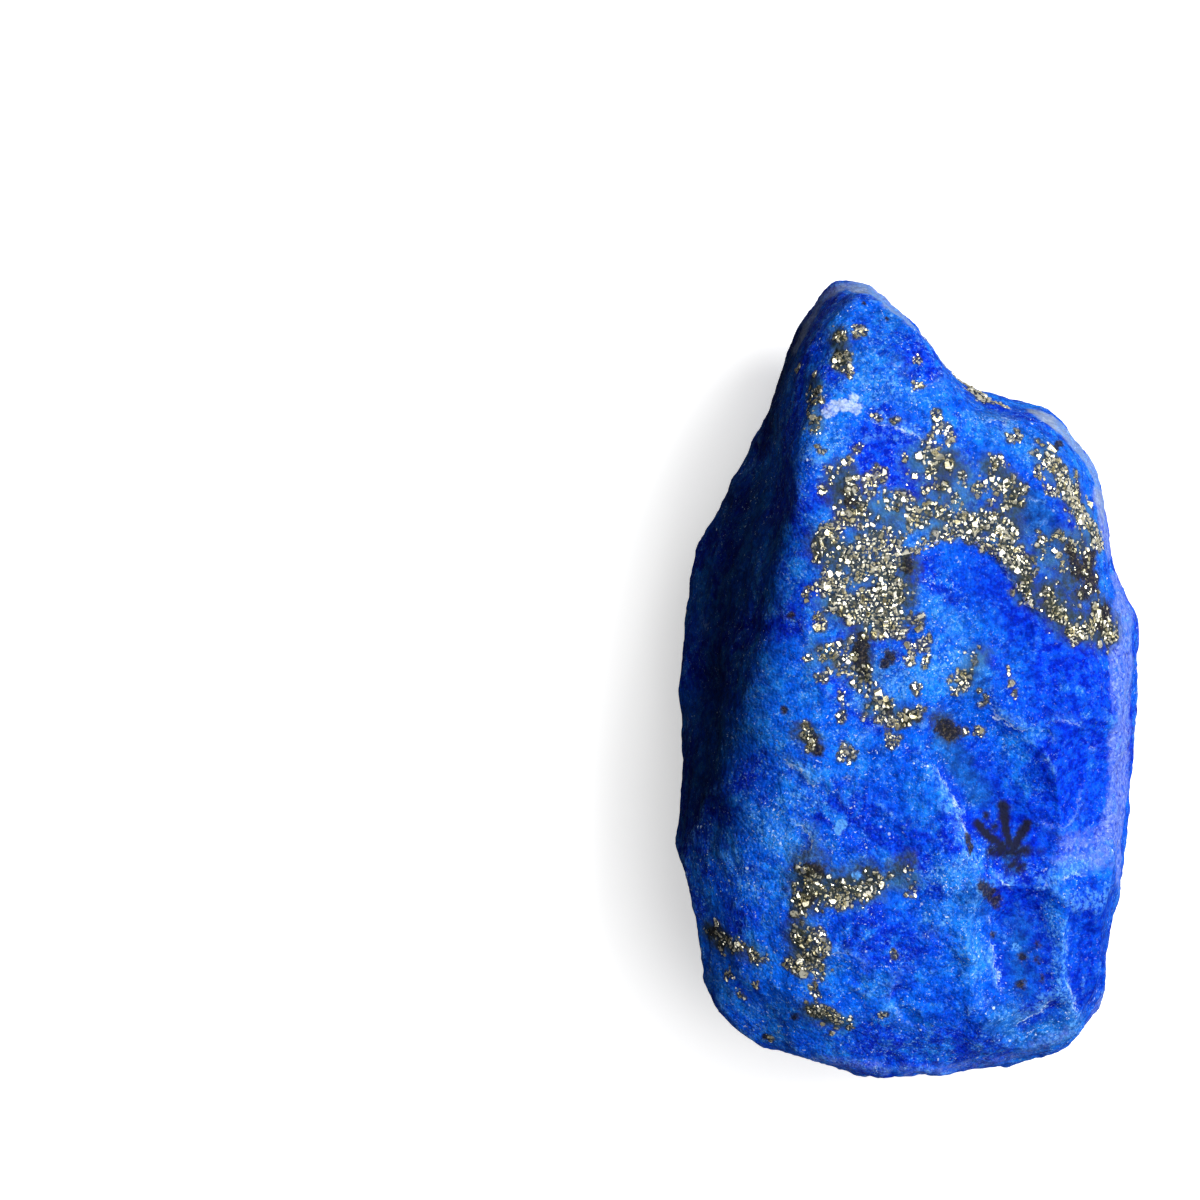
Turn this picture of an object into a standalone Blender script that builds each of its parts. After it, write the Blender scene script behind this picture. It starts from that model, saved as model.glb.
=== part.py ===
"""Rough lapis lazuli: one loose stone, broken on top and worn along its edges.

The stone is one solid. A cube is divided finely, and each of its points slides along its own
ray from the stone's heart until it meets the rock's surface. That surface is a wall with the
stone's outline, which leans in above and below its widest height, closed above by broad
fracture faces and below by worn ones, with a ledge or a rounded flake scar where a piece has
split away.

Built at real size in metres, +Z up, lying on its flat spot with the pointed end towards +Y.
"""

import math

import bmesh
import bpy
import numpy as np
from mathutils import Vector, noise

MM = 0.001

# Driving dimensions, in millimetres
HEART = np.array([0.0, -0.5, 8.5])  # a point inside, from which the whole surface is seen
FARTHEST = 34.0  # no point of the stone is farther from its heart
SIDE_DIVISIONS = 27  # squares along each side of the starting cube
EDGE_WEAR = 1.1  # width over which two faces of the rock round into each other
SCAR_RIM = 0.3  # the same where a flake scar leaves a crisper edge
SHIFT = np.array([0.23, 0.03, 0.0])  # puts the middle of the stone's box on the origin

# The widest outline seen from above, clockwise from the pointed end
OUTLINE = [
    (-4.7, 23.7), (-3.1, 23.8), (-2.1, 23.3), (0.1, 21.5), (2.0, 18.9), (3.9, 17.4),
    (5.9, 16.6), (8.0, 16.1), (9.5, 14.8), (10.8, 12.7), (11.4, 10.0), (11.8, 7.3),
    (12.6, 5.2), (13.4, 3.4), (13.4, -0.7), (12.9, -5.5), (12.6, -9.7), (12.3, -12.6),
    (11.7, -15.2), (11.5, -18.0), (11.1, -20.2), (9.4, -22.1), (5.5, -23.4), (1.5, -24.3),
    (-1.8, -24.1), (-4.9, -23.1), (-8.0, -22.4), (-10.9, -20.8), (-13.2, -17.4),
    (-14.3, -13.3), (-13.9, -5.0), (-14.3, 0.0), (-14.0, 3.4), (-12.5, 8.2), (-9.5, 13.7),
    (-7.3, 20.0), (-6.0, 22.1),
]  # fmt: skip

# How the wall leans: bearing in degrees anticlockwise from +X, height where it is widest,
# then how far it leans in for each millimetre above and below that height
WALL = [
    (-160, 5.6, 0.30, 0.50),
    (-125, 6.8, 0.26, 0.70),
    (-90, 7.4, 0.20, 0.75),
    (-50, 6.4, 0.26, 0.60),
    (-10, 7.8, 0.29, 0.42),
    (25, 6.6, 0.27, 0.50),
    (60, 7.2, 0.25, 0.50),
    (90, 5.2, 0.20, 0.60),
    (112, 5.0, 0.16, 0.45),
    (128, 4.8, 0.36, 0.42),
    (160, 4.4, 0.47, 0.36),
]
GIRDLE_ROUND = 3.0  # how softly the wall turns at its widest height

# Fracture faces: a point on each, the bearing that it falls towards, and its tilt in degrees
TOP_FACES = [
    ((-6.5, 6.0, 19.7), 4, 8),  # broad top, with the metallic band across it
    ((-3.0, 14.2, 18.9), 88, 20),  # falls away to the pointed end
    ((0.5, -5.0, 18.9), 225, 10),  # lower left plateau
    ((1.0, -15.0, 17.2), 258, 20),  # towards the blunt end
    ((0.0, -19.6, 15.2), 266, 44),  # worn nose of the blunt end
    ((9.6, -16.0, 14.4), -30, 34),  # lower right corner
    ((-11.4, -10.5, 14.8), 200, 36),  # worn shoulder at the lower left
    ((9.0, 12.0, 16.2), 36, 34),  # upper right shoulder
    ((10.9, 1.0, 16.6), 2, 50),  # worn right edge
]
UNDER_FACES = [
    ((0.0, 5.0, 0.0), 94, 10),
    ((0.5, -8.5, 0.0), 264, 13),
    ((-6.0, -1.0, 0.0), 184, 22),
    ((6.5, -1.0, 0.0), 2, 18),
    ((5.5, 11.0, 1.6), 56, 32),
    ((-8.0, -14.0, 2.2), 226, 36),
    ((8.0, -15.0, 2.4), 305, 34),
]

# Smaller worn faces: the bearing and elevation that each looks towards, and its depth of cut
WORN_FACES = [
    (148, 40, 0.7), (176, -22, 1.0), (196, 34, 0.7), (214, -12, 0.5), (233, 42, 0.8),
    (251, -28, 0.9), (282, 28, 0.6), (301, -24, 1.0), (322, 16, 0.5), (346, -34, 1.1),
    (12, 30, 0.6), (22, -28, 0.9), (49, 20, 0.4), (62, -30, 1.1), (78, 48, 0.5),
    (99, -26, 1.0), (118, 24, 0.3), (136, -32, 1.2), (168, 22, 0.4), (200, -48, 1.0),
]  # fmt: skip

# Flake scars: both ends of the valley, the bearing and elevation that the scar faces, and the
# radius of its curve
SCARS = [
    ((1.9, -3.9, 17.5), (5.7, -10.2, 15.9), 20, 76, 4.4),  # hollow below the crest
    ((9.8, -7.4, 15.3), (9.2, -10.8, 15.1), 4, 52, 9.0),  # pale bevel on the right edge
    ((6.1, -14.4, 15.0), (6.3, -17.8, 14.3), -60, 78, 4.2),  # hollow with the dark dots
    ((11.2, -14.6, 12.0), (11.0, -17.6, 11.2), -4, 22, 4.0),  # chipped lower right corner
    ((7.4, -20.0, 12.9), (7.0, -20.2, 12.9), -66, 52, 5.5),  # below the hollow
    ((4.6, 17.4, 15.0), (5.2, 17.0, 14.6), 60, 52, 4.5),  # bay beside the pointed end
    ((-6.2, -20.6, 13.2), (-1.5, -21.9, 13.2), 256, 48, 7.5),
    ((-12.3, 7.0, 10.0), (-12.6, -2.0, 10.5), 170, 22, 16.0),  # long hollow in the left side
    ((-13.1, -12.0, 8.0), (-12.6, -15.0, 7.0), 196, 4, 8.0),
    ((13.0, -1.0, 6.0), (12.8, -5.0, 5.5), 2, -8, 9.0),
    ((-1.0, -22.9, 8.0), (4.0, -22.7, 6.5), 272, -4, 8.0),
    ((5.0, 11.0, 1.9), (2.0, 15.0, 2.6), 70, -60, 12.0),
    ((-6.0, -13.0, 1.9), (-2.0, -17.0, 2.3), 240, -66, 10.0),
    ((11.0, 3.0, 3.2), (10.8, -3.0, 2.9), 6, -44, 8.0),
]

# Ledges on the top: corners of the line, drop on its right-hand side, distance that it fades in
LEDGES = [
    ([(-1.5, 7.2), (1.0, 8.2), (3.0, 8.0), (4.6, 6.6), (6.2, 4.4), (7.8, 2.9)], 0.35, 4.0),
    ([(3.7, -1.4), (5.3, -2.7), (7.1, -2.9), (7.8, -3.6)], 0.25, 2.5),
    ([(-8.3, -4.3), (-6.0, -6.1), (-5.4, -5.4)], 0.25, 2.5),
    ([(2.9, -9.9), (2.3, -7.8), (1.0, -5.5), (-0.6, -2.6)], 0.28, 3.0),
    ([(-12.0, -12.0), (-8.0, -11.3), (-4.6, -11.9), (-1.4, -11.4), (1.6, -12.6)], 0.25, 3.0),
    ([(-5.0, -17.6), (-3.0, -18.6), (0.2, -17.6), (2.4, -16.2), (4.2, -16.9)], 0.30, 3.0),
    ([(9.9, -20.4), (8.8, -16.5), (9.9, -12.9), (10.7, -11.8)], 0.30, 2.0),
]
LEDGE_STEP = 1.1  # width of a ledge's riser

# Lumps and roughness: size, height, a place in the noise, and whether it is creased
RELIEF = [(8.0, 0.40, 3.1, False), (3.6, 0.22, 7.7, True), (1.8, 0.10, 12.3, True)]


def smooth_outline(corners, steps=8):
    """Points along a closed Catmull-Rom curve through the corners."""
    c = np.array(corners)
    before, after, beyond = np.roll(c, 1, 0), np.roll(c, -1, 0), np.roll(c, -2, 0)
    rows = []
    for t in np.arange(steps) / steps:
        rows.append(
            c
            + 0.5 * t * (after - before)
            + t**2 * (before - 2.5 * c + 2 * after - 0.5 * beyond)
            + t**3 * (1.5 * (c - after) + 0.5 * (beyond - before))
        )
    return np.stack(rows, 1).reshape(-1, 2)


def by_bearing(bearings, values, asked):
    """Values read off round the compass, in degrees."""
    return np.interp(asked, bearings, values, period=360)


def direction(bearing, elevation):
    """Unit vector for a bearing and an elevation in degrees."""
    b, e = math.radians(bearing), math.radians(elevation)
    return np.array([math.cos(b) * math.cos(e), math.sin(b) * math.cos(e), math.sin(e)])


def blend_max(a, b, width):
    """The larger of a and b, rounded where they meet."""
    near = np.clip(1 - np.abs(a - b) / width, 0, 1)
    return np.maximum(a, b) + near**2 * width / 4


def smooth_step(t):
    t = np.clip(t, 0, 1)
    return t * t * (3 - 2 * t)


def wall_gap(p):
    """How far each point is outside the leaning wall."""
    outline = smooth_outline(OUTLINE) - HEART[:2]
    around = np.degrees(np.arctan2(outline[:, 1], outline[:, 0]))
    x, y = p[:, 0] - HEART[0], p[:, 1] - HEART[1]
    bearing = np.degrees(np.arctan2(y, x))
    bearings, girdle, above, below = np.array(WALL).T
    rise = p[:, 2] - by_bearing(bearings, girdle, bearing)
    spread = np.hypot(rise, GIRDLE_ROUND) - GIRDLE_ROUND
    above = by_bearing(bearings, above, bearing)
    below = by_bearing(bearings, below, bearing)
    lean = np.where(rise > 0, above, below)
    reach = by_bearing(around, np.hypot(*outline.T), bearing) - spread * lean
    return (np.hypot(x, y) - reach) / np.sqrt(1 + lean**2)


def ledge_drop(x, y, corners, drop, fade):
    """How much a ledge lowers the top at each point."""
    c = np.array(corners)
    nearest = np.full(x.shape, np.inf)
    side, along = np.zeros(x.shape), np.zeros(x.shape)
    lengths = np.hypot(*(c[1:] - c[:-1]).T)
    done = 0.0
    for a, b, length in zip(c[:-1], c[1:], lengths):
        u = (b - a) / length
        t = np.clip((x - a[0]) * u[0] + (y - a[1]) * u[1], 0, length)
        dx, dy = x - a[0] - t * u[0], y - a[1] - t * u[1]
        distance = np.hypot(dx, dy)
        closer = distance < nearest
        right = (dx * u[1] - dy * u[0]) >= 0
        nearest = np.where(closer, distance, nearest)
        side = np.where(closer, np.where(right, 1, -1), side)
        along = np.where(closer, (done + t) / lengths.sum(), along)
        done += length
    signed = nearest * side
    ends = smooth_step(along / 0.2) * smooth_step((1 - along) / 0.2)
    return drop * ends * smooth_step(0.5 + signed / LEDGE_STEP) * np.exp(-np.maximum(signed, 0) / fade)


def scar_gap(p, start, stop, bearing, elevation, radius):
    """How deep each point lies within the round bite that made a flake scar."""
    away = direction(bearing, elevation) * radius
    axis = np.subtract(stop, start)
    offset = p - (start + away)
    t = np.clip(offset @ axis / (axis @ axis), 0, 1)
    return radius - np.linalg.norm(offset - np.outer(t, axis), axis=1)


def surface_gap(p, worn=()):
    """How far each point is outside the stone: below zero inside, zero on the surface."""
    gap = wall_gap(p)
    drop = sum(ledge_drop(p[:, 0], p[:, 1], *ledge) for ledge in LEDGES)
    lowered = p + np.outer(drop, [0, 0, 1])
    for point, bearing, tilt in TOP_FACES:
        gap = blend_max(gap, (lowered - point) @ direction(bearing, 90 - tilt), EDGE_WEAR)
    for point, bearing, tilt in UNDER_FACES:
        gap = blend_max(gap, (p - point) @ direction(bearing, tilt - 90), EDGE_WEAR)
    for facing, limit in worn:
        gap = blend_max(gap, p @ facing - limit, EDGE_WEAR)
    for scar in SCARS:
        gap = blend_max(gap, scar_gap(p, *scar), SCAR_RIM)
    return gap


def worn_limits(surface):
    """Turns each worn face's depth of cut into the plane that it lies in."""
    facings = [(direction(bearing, elevation), depth) for bearing, elevation, depth in WORN_FACES]
    return [(facing, (surface @ facing).max() - depth) for facing, depth in facings]


def meet_surface(rays, worn=()):
    """Where each ray from the heart first leaves the stone."""
    inside = np.zeros(len(rays))
    outside = np.full(len(rays), FARTHEST)
    searching = np.ones(len(rays), bool)
    for reach in np.linspace(4.0, FARTHEST, 60):
        out = searching & (surface_gap(HEART + rays * reach, worn) > 0)
        outside[out] = reach
        searching &= ~out
        inside[searching] = reach
    for _ in range(12):
        middle = (inside + outside) / 2
        out = surface_gap(HEART + rays * middle[:, None], worn) > 0
        outside = np.where(out, middle, outside)
        inside = np.where(out, inside, middle)
    return HEART + rays * inside[:, None]


def relief(point):
    """Height of the rock's own lumps and roughness at a point."""
    total = 0
    for size, height, place, creased in RELIEF:
        wave = noise.noise(Vector(point) / size + Vector((place, 0, 0)))
        total += height * (0.4 - 2 * abs(wave) if creased else wave)
    return total


def divided_cube(divisions):
    """A cube with every side cut into equal squares."""
    mesh = bmesh.new()
    bmesh.ops.create_cube(mesh, size=2)
    bmesh.ops.subdivide_edges(mesh, edges=mesh.edges, cuts=divisions - 1, use_grid_fill=True)
    return mesh


def coordinates(mesh):
    return np.array([v.co for v in mesh.verts])


def shape_stone(mesh):
    """Moves the divided cube's points onto the rock, then adds its lumps."""
    cube = np.tan(coordinates(mesh) * math.pi / 4)
    box = np.array([13.0, 23.0, 9.0])  # half sizes that spread the points evenly
    rays = cube / np.linalg.norm(cube, axis=1, keepdims=True) * box
    rays /= np.linalg.norm(rays, axis=1, keepdims=True)
    worn = worn_limits(meet_surface(rays[::3]))
    for vert, place in zip(mesh.verts, meet_surface(rays, worn)):
        vert.co = place
    mesh.normal_update()
    for vert in mesh.verts:
        vert.co += vert.normal * relief(vert.co)
    bmesh.ops.smooth_vert(
        mesh, verts=mesh.verts, factor=0.35, use_axis_x=True, use_axis_y=True, use_axis_z=True
    )
    for vert in mesh.verts:
        vert.co.z = max(vert.co.z, 0)
        vert.co = (vert.co + Vector(SHIFT)) * MM


def lapis_material():
    """Deep ultramarine rock with a dull, fine-grained surface."""
    material = bpy.data.materials.new("lapis")
    material.use_nodes = True
    shader = material.node_tree.nodes["Principled BSDF"]
    shader.inputs["Base Color"].default_value = (0.012, 0.09, 0.72, 1)
    shader.inputs["Roughness"].default_value = 0.6
    shader.inputs["Metallic"].default_value = 0.0
    return material


def build_stone():
    """The whole rock as one object with one closed skin."""
    mesh = divided_cube(SIDE_DIVISIONS)
    shape_stone(mesh)
    bmesh.ops.triangulate(mesh, faces=mesh.faces, quad_method="SHORT_EDGE")
    bmesh.ops.recalc_face_normals(mesh, faces=mesh.faces)
    data = bpy.data.meshes.new("lapis_stone")
    mesh.to_mesh(data)
    mesh.free()
    data.materials.append(lapis_material())
    stone = bpy.data.objects.new("lapis_stone", data)
    bpy.context.scene.collection.objects.link(stone)
    return stone


def main():
    for item in list(bpy.data.objects):
        bpy.data.objects.remove(item)
    build_stone()


main()
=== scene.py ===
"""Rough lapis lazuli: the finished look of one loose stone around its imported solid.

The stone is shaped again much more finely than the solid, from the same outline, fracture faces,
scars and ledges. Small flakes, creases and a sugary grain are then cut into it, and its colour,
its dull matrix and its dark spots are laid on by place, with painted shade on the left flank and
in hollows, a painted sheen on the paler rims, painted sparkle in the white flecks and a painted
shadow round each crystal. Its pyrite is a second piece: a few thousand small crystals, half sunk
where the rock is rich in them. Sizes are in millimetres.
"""

import logging
import math
from dataclasses import dataclass, field
from enum import Enum
from functools import cached_property

import bmesh
import bpy
import numpy as np
from mathutils import Matrix, Vector, noise
from mathutils.kdtree import KDTree


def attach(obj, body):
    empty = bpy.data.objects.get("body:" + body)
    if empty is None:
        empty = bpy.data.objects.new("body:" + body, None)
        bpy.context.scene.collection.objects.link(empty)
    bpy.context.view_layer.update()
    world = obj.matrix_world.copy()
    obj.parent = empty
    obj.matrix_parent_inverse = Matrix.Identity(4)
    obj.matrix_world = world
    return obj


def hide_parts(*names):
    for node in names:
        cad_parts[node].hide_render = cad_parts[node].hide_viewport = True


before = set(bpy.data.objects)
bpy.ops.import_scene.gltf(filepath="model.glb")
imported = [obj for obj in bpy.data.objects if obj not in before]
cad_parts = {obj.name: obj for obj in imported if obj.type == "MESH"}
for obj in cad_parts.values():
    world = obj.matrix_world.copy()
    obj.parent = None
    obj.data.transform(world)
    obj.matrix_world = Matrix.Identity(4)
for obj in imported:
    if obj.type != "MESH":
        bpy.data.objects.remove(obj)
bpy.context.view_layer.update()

LOG = logging.getLogger("lapis")
MM = 0.001
CREASE_TOP = 0.4
FAR = 3.0
CREST_FADE = 0.5
Points = np.ndarray
Colour = tuple[float, float, float]
Socket = bpy.types.NodeSocket
Value = Socket | float | Colour


class Mark(Enum):
    """Kinds of marking that lie in places on the stone, painted shade and sheen among them."""

    PYRITE = "pyrite"
    ZONE = "zone"
    DARK = "dark"
    DENDRITE = "dendrite"
    CALCITE = "calcite"
    PALE = "pale"
    AZURE = "azure"
    DEEP = "deep"
    TEAL = "teal"
    SMOOTH = "smooth"
    DUSK = "dusk"
    SMOKE = "smoke"
    BRUISE = "bruise"


Place = tuple[float, float]


@dataclass(frozen=True)
class Face:
    """A broad break: a point on it, where it falls to, its tilt, and how round its edges are."""

    point: tuple[float, float, float]
    bearing: float
    tilt: float
    round: float = 0.0


@dataclass(frozen=True)
class Scar:
    """Where a flake has split away: its valley's two ends, where it faces, and its curve."""

    start: tuple[float, float, float]
    stop: tuple[float, float, float]
    bearing: float
    elevation: float
    radius: float


@dataclass(frozen=True)
class Ledge:
    """A step in the top: its line, the drop to its right, how far that fades, and its wear."""

    corners: tuple[Place, ...]
    drop: float
    fade: float
    wear: float = 0.8


@dataclass(frozen=True)
class Streak:
    """A marking along a short line of places on the top, seen from above."""

    places: tuple[Place, ...]
    width: float
    strength: float = 1.0


def lines(width: float, strength: float, *paths: tuple[Place, ...]) -> tuple[Streak, ...]:
    """Returns one streak for each path, all of one width and strength."""
    return tuple(Streak(path, width, strength) for path in paths)


def dots(width: float, strength: float, *places: Place) -> tuple[Streak, ...]:
    """Returns one round streak for each place, all of one width and strength."""
    return tuple(Streak((place,), width, strength) for place in places)


def direction(bearing: float, elevation: float) -> Points:
    """Returns the unit vector for a bearing and an elevation in degrees."""
    b, e = math.radians(bearing), math.radians(elevation)
    return np.array([math.cos(b) * math.cos(e), math.sin(b) * math.cos(e), math.sin(e)])


def blend_max(a: Points, b: Points, width: float) -> Points:
    """Returns the larger of a and b, rounded where they meet."""
    near = np.clip(1 - np.abs(a - b) / width, 0, 1)
    return np.maximum(a, b) + near**2 * width / 4


def smooth_step(t: Points) -> Points:
    """Returns a soft rise from 0 to 1 as t does."""
    t = np.clip(t, 0, 1)
    return t * t * (3 - 2 * t)


@dataclass
class CrestLines:
    """The nearest worn line to each point: the signed way to it, its wear, and the next one."""

    signed: Points
    wear: Points
    rival: Points

    @classmethod
    def empty(cls, count: int) -> "CrestLines":
        """Returns lines for some points, none of them near."""
        return cls(np.full(count, FAR), np.zeros(count), np.full(count, FAR))

    def join(self, near: Points, signed: Points, wear: Points) -> None:
        """Takes in one more line.

        Args:
            near: Which of the points it may be near.
            signed: Their distance from it, above zero on its lower side.
            wear: How worn it is at each of them.
        """
        away, now = np.abs(signed), np.abs(self.signed[near])
        closer = away < now
        self.rival[near] = np.where(closer, now, np.minimum(self.rival[near], away))
        self.signed[near] = np.where(closer, signed, self.signed[near])
        self.wear[near] = np.where(closer, wear, self.wear[near])

    def shown(self, reach: float, clear: float) -> Points:
        """Returns the wear, faded beyond a reach and where two lines are equally near."""
        away = np.abs(self.signed)
        alone = smooth_step((self.rival - away) / clear - 1)
        return self.wear * alone * (1 - smooth_step((away - reach) / CREST_FADE))


def creases(wave: Points) -> Points:
    """Returns noise folded into narrow creases."""
    return CREASE_TOP - 2 * np.abs(wave)


def lumps(points: Points, size: float, place: float) -> Points:
    """Smooth noise, about -1 to 1.

    Args:
        points: Where it is read.
        size: How wide its lumps are.
        place: Which part of the noise is used.

    Returns:
        One value for each point.
    """
    offset = Vector((place, 0.0, 0.0))
    return np.array([noise.noise(Vector(p) / size + offset) for p in points])


@dataclass
class StoneForm:
    """The rock's main shape, as a distance from its surface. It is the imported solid's own form."""

    heart: tuple[float, float, float] = (0.0, -0.5, 8.5)
    nearest: float = 4.0
    farthest: float = 34.0
    strides: int = 60
    halvings: int = 12
    sampled: int = 40
    spread: tuple[float, float, float] = (13.0, 23.0, 9.0)
    spread_up: float = 15.0
    lift: float = 0.3
    edge_wear: float = 0.5
    scar_rim: float = 0.16
    ledge_step: float = 0.32
    ledge_end: float = 0.15
    girdle_round: float = 3.0
    shift: tuple[float, float, float] = (0.23, 0.03, 0.0)
    outline: tuple[tuple[float, float], ...] = (
        (-4.7, 23.7), (-3.1, 23.8), (-2.1, 23.3), (0.1, 21.5), (2.0, 18.9), (3.9, 17.4), (5.9, 16.6),
        (8.0, 16.1), (9.5, 14.8), (10.8, 12.7), (11.4, 10.0), (11.8, 7.3), (12.6, 5.2),
        (13.4, 3.4), (13.4, -0.7), (12.9, -5.5), (12.6, -9.7), (12.3, -12.6), (11.7, -15.2),
        (11.5, -18.0), (11.1, -20.2), (9.4, -22.1), (5.5, -23.4), (1.5, -24.3), (-1.8, -24.1),
        (-4.9, -23.1), (-8.0, -22.4), (-10.9, -20.8), (-13.2, -17.4), (-14.3, -13.3),
        (-13.9, -5.0), (-14.3, 0.0), (-14.0, 3.4), (-12.5, 8.2), (-9.5, 13.7), (-7.3, 20.0),
        (-6.0, 22.1),
    )  # fmt: skip
    # Each row: a bearing, the height of the widest place, and how far it leans in above and below
    wall: tuple[tuple[float, float, float, float], ...] = (
        (-160, 5.6, 0.30, 0.50), (-125, 6.8, 0.26, 0.70), (-90, 7.4, 0.20, 0.75),
        (-50, 6.4, 0.26, 0.60), (-10, 7.8, 0.29, 0.42), (25, 6.6, 0.27, 0.50),
        (60, 7.2, 0.25, 0.50), (90, 5.2, 0.20, 0.60), (112, 5.0, 0.16, 0.45),
        (128, 4.8, 0.36, 0.42), (160, 4.4, 0.47, 0.36),
    )  # fmt: skip
    top_faces: tuple[Face, ...] = (
        Face((-6.5, 6.0, 19.7), 4, 8, 2.4),
        Face((-3.0, 14.2, 18.9), 88, 20, 0.8),
        Face((0.5, -5.0, 18.9), 225, 10, 1.2),
        Face((1.0, -15.0, 17.2), 258, 20),
        Face((0.0, -19.6, 15.2), 266, 44),
        Face((9.6, -16.0, 14.4), -30, 34),
        Face((-11.4, -10.5, 14.8), 200, 36, 1.6),
        Face((9.0, 12.0, 16.2), 36, 34),
        Face((10.9, 1.0, 16.6), 2, 50),
    )
    under_faces: tuple[Face, ...] = (
        Face((0.0, 5.0, 0.0), 94, 10),
        Face((0.5, -8.5, 0.0), 264, 13),
        Face((-6.0, -1.0, 0.0), 184, 22),
        Face((6.5, -1.0, 0.0), 2, 18),
        Face((5.5, 11.0, 1.6), 56, 32),
        Face((-8.0, -14.0, 2.2), 226, 36),
        Face((8.0, -15.0, 2.4), 305, 34),
    )
    # Each row: the bearing and the elevation that a small face looks to, and its depth
    worn_faces: tuple[tuple[float, float, float], ...] = (
        (148, 40, 0.7), (176, -22, 1.0), (196, 34, 0.7), (214, -12, 0.5), (233, 42, 0.8),
        (251, -28, 0.9), (282, 28, 0.6), (301, -24, 1.0), (322, 16, 0.5), (346, -34, 1.1),
        (12, 30, 0.6), (22, -28, 0.9), (49, 20, 0.4), (62, -30, 1.1), (78, 48, 0.5),
        (99, -26, 1.0), (118, 24, 0.3), (136, -32, 1.2), (168, 22, 0.4), (200, -48, 1.0),
    )  # fmt: skip
    scars: tuple[Scar, ...] = (
        Scar((1.9, -3.9, 17.5), (5.7, -10.2, 15.9), 20, 76, 4.4),
        Scar((9.8, -7.4, 15.3), (9.2, -10.8, 15.1), 4, 52, 9.0),
        Scar((6.1, -14.4, 15.0), (6.3, -17.8, 14.3), -60, 78, 4.2),
        Scar((11.2, -14.6, 12.0), (11.0, -17.6, 11.2), -4, 22, 4.0),
        Scar((7.4, -20.0, 12.9), (7.0, -20.2, 12.9), -66, 52, 5.5),
        Scar((4.6, 17.4, 15.0), (5.2, 17.0, 14.6), 60, 52, 4.5),
        Scar((-6.2, -20.6, 13.2), (-1.5, -21.9, 13.2), 256, 48, 7.5),
        Scar((-12.3, 7.0, 10.0), (-12.6, -2.0, 10.5), 170, 22, 16.0),
        Scar((-13.1, -12.0, 8.0), (-12.6, -15.0, 7.0), 196, 4, 8.0),
        Scar((13.0, -1.0, 6.0), (12.8, -5.0, 5.5), 2, -8, 9.0),
        Scar((-1.0, -22.9, 8.0), (4.0, -22.7, 6.5), 272, -4, 8.0),
        Scar((5.0, 11.0, 1.9), (2.0, 15.0, 2.6), 70, -60, 12.0),
        Scar((-6.0, -13.0, 1.9), (-2.0, -17.0, 2.3), 240, -66, 10.0),
        Scar((11.0, 3.0, 3.2), (10.8, -3.0, 2.9), 6, -44, 8.0),
    )
    ledges: tuple[Ledge, ...] = (
        Ledge(
            ((-1.5, 7.2), (0.1, 7.8), (1.4, 8.4), (2.6, 8.2), (4.2, 7.3), (6.2, 4.4), (7.8, 2.9)),
            0.35, 4.0, 0.5,
        ),
        Ledge(
            ((3.8, -1.5), (4.4, -2.1), (5.4, -2.8), (6.8, -3.0), (7.3, -2.9), (7.9, -3.6)),
            0.28, 2.5, 0.8,
        ),
        Ledge(((6.1, -3.7), (6.8, -4.4), (7.5, -4.9)), 0.08, 1.0, 0.8),
        Ledge(((-8.2, -4.4), (-7.4, -5.0), (-6.2, -6.1), (-5.6, -5.6)), 0.25, 2.5, 0.8),
        Ledge(
            ((2.9, -9.9), (2.6, -9.0), (2.3, -7.8), (1.7, -6.6), (1.0, -5.5), (0.3, -4.2), (-0.6, -2.6)),
            0.38, 3.0, 0.9,
        ),
        Ledge(((-4.8, -5.4), (-4.4, -5.6), (-3.8, -5.7)), 0.10, 1.0, 1.0),
        Ledge(
            ((-7.5, -8.6), (-7.0, -8.5), (-6.4, -8.8), (-6.3, -9.5), (-6.8, -10.5)),
            0.15, 1.2, 0.9,
        ),
        Ledge(((1.8, -11.2), (2.4, -10.5), (3.3, -11.3)), 0.12, 0.8, 0.9),
        Ledge(
            ((-12.0, -12.0), (-8.0, -11.3), (-4.6, -11.9), (-1.4, -11.4), (1.6, -12.6)),
            0.25, 3.0, 0.0,
        ),
        Ledge(
            ((-5.0, -17.6), (-3.0, -18.6), (0.2, -17.6), (2.4, -16.2), (4.2, -16.9)),
            0.30, 3.0, 0.0,
        ),
        Ledge(
            ((4.8, -18.4), (4.6, -17.6), (4.4, -16.4), (4.1, -15.1), (4.2, -14.3), (4.1, -13.5)),
            0.32, 2.0, 1.0,
        ),
        Ledge(((4.4, -11.3), (5.0, -12.0), (5.6, -12.9)), 0.10, 1.5, 0.8),
        Ledge(
            ((5.6, -12.9), (6.5, -12.5), (7.5, -11.9), (9.0, -11.4), (9.7, -11.2)),
            0.28, 2.0, 1.0,
        ),
        Ledge(
            ((9.8, -20.2), (9.3, -19.4), (8.8, -17.8), (8.6, -16.2), (8.6, -14.6), (8.9, -13.4)),
            0.45, 2.0, 0.8,
        ),
        Ledge(((8.2, -14.6), (8.3, -16.4), (8.1, -18.4)), 0.14, 1.5, 0.0),
        Ledge(((5.5, -20.3), (6.3, -20.0), (7.3, -19.4), (7.9, -18.6)), 0.24, 1.5, 0.9),
        Ledge(((1.7, -21.0), (3.1, -19.4), (4.4, -18.6)), 0.20, 2.0, 0.8),
        Ledge(((-3.1, 15.1), (-2.0, 14.9), (-1.2, 14.5), (0.2, 13.8)), 0.15, 2.0, 0.8),
        Ledge(((2.6, 15.1), (3.7, 15.1), (5.0, 15.2), (5.0, 14.6), (4.3, 14.4)), 0.12, 0.8, 0.8),
    )  # fmt: skip
    # Each row: the lumps' size and height, their place in the noise, and whether they are creased
    relief: tuple[tuple[float, float, float, bool], ...] = (
        (8.0, 0.40, 3.1, False), (3.6, 0.20, 7.7, True), (1.8, 0.09, 12.3, True),
    )  # fmt: skip

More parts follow.
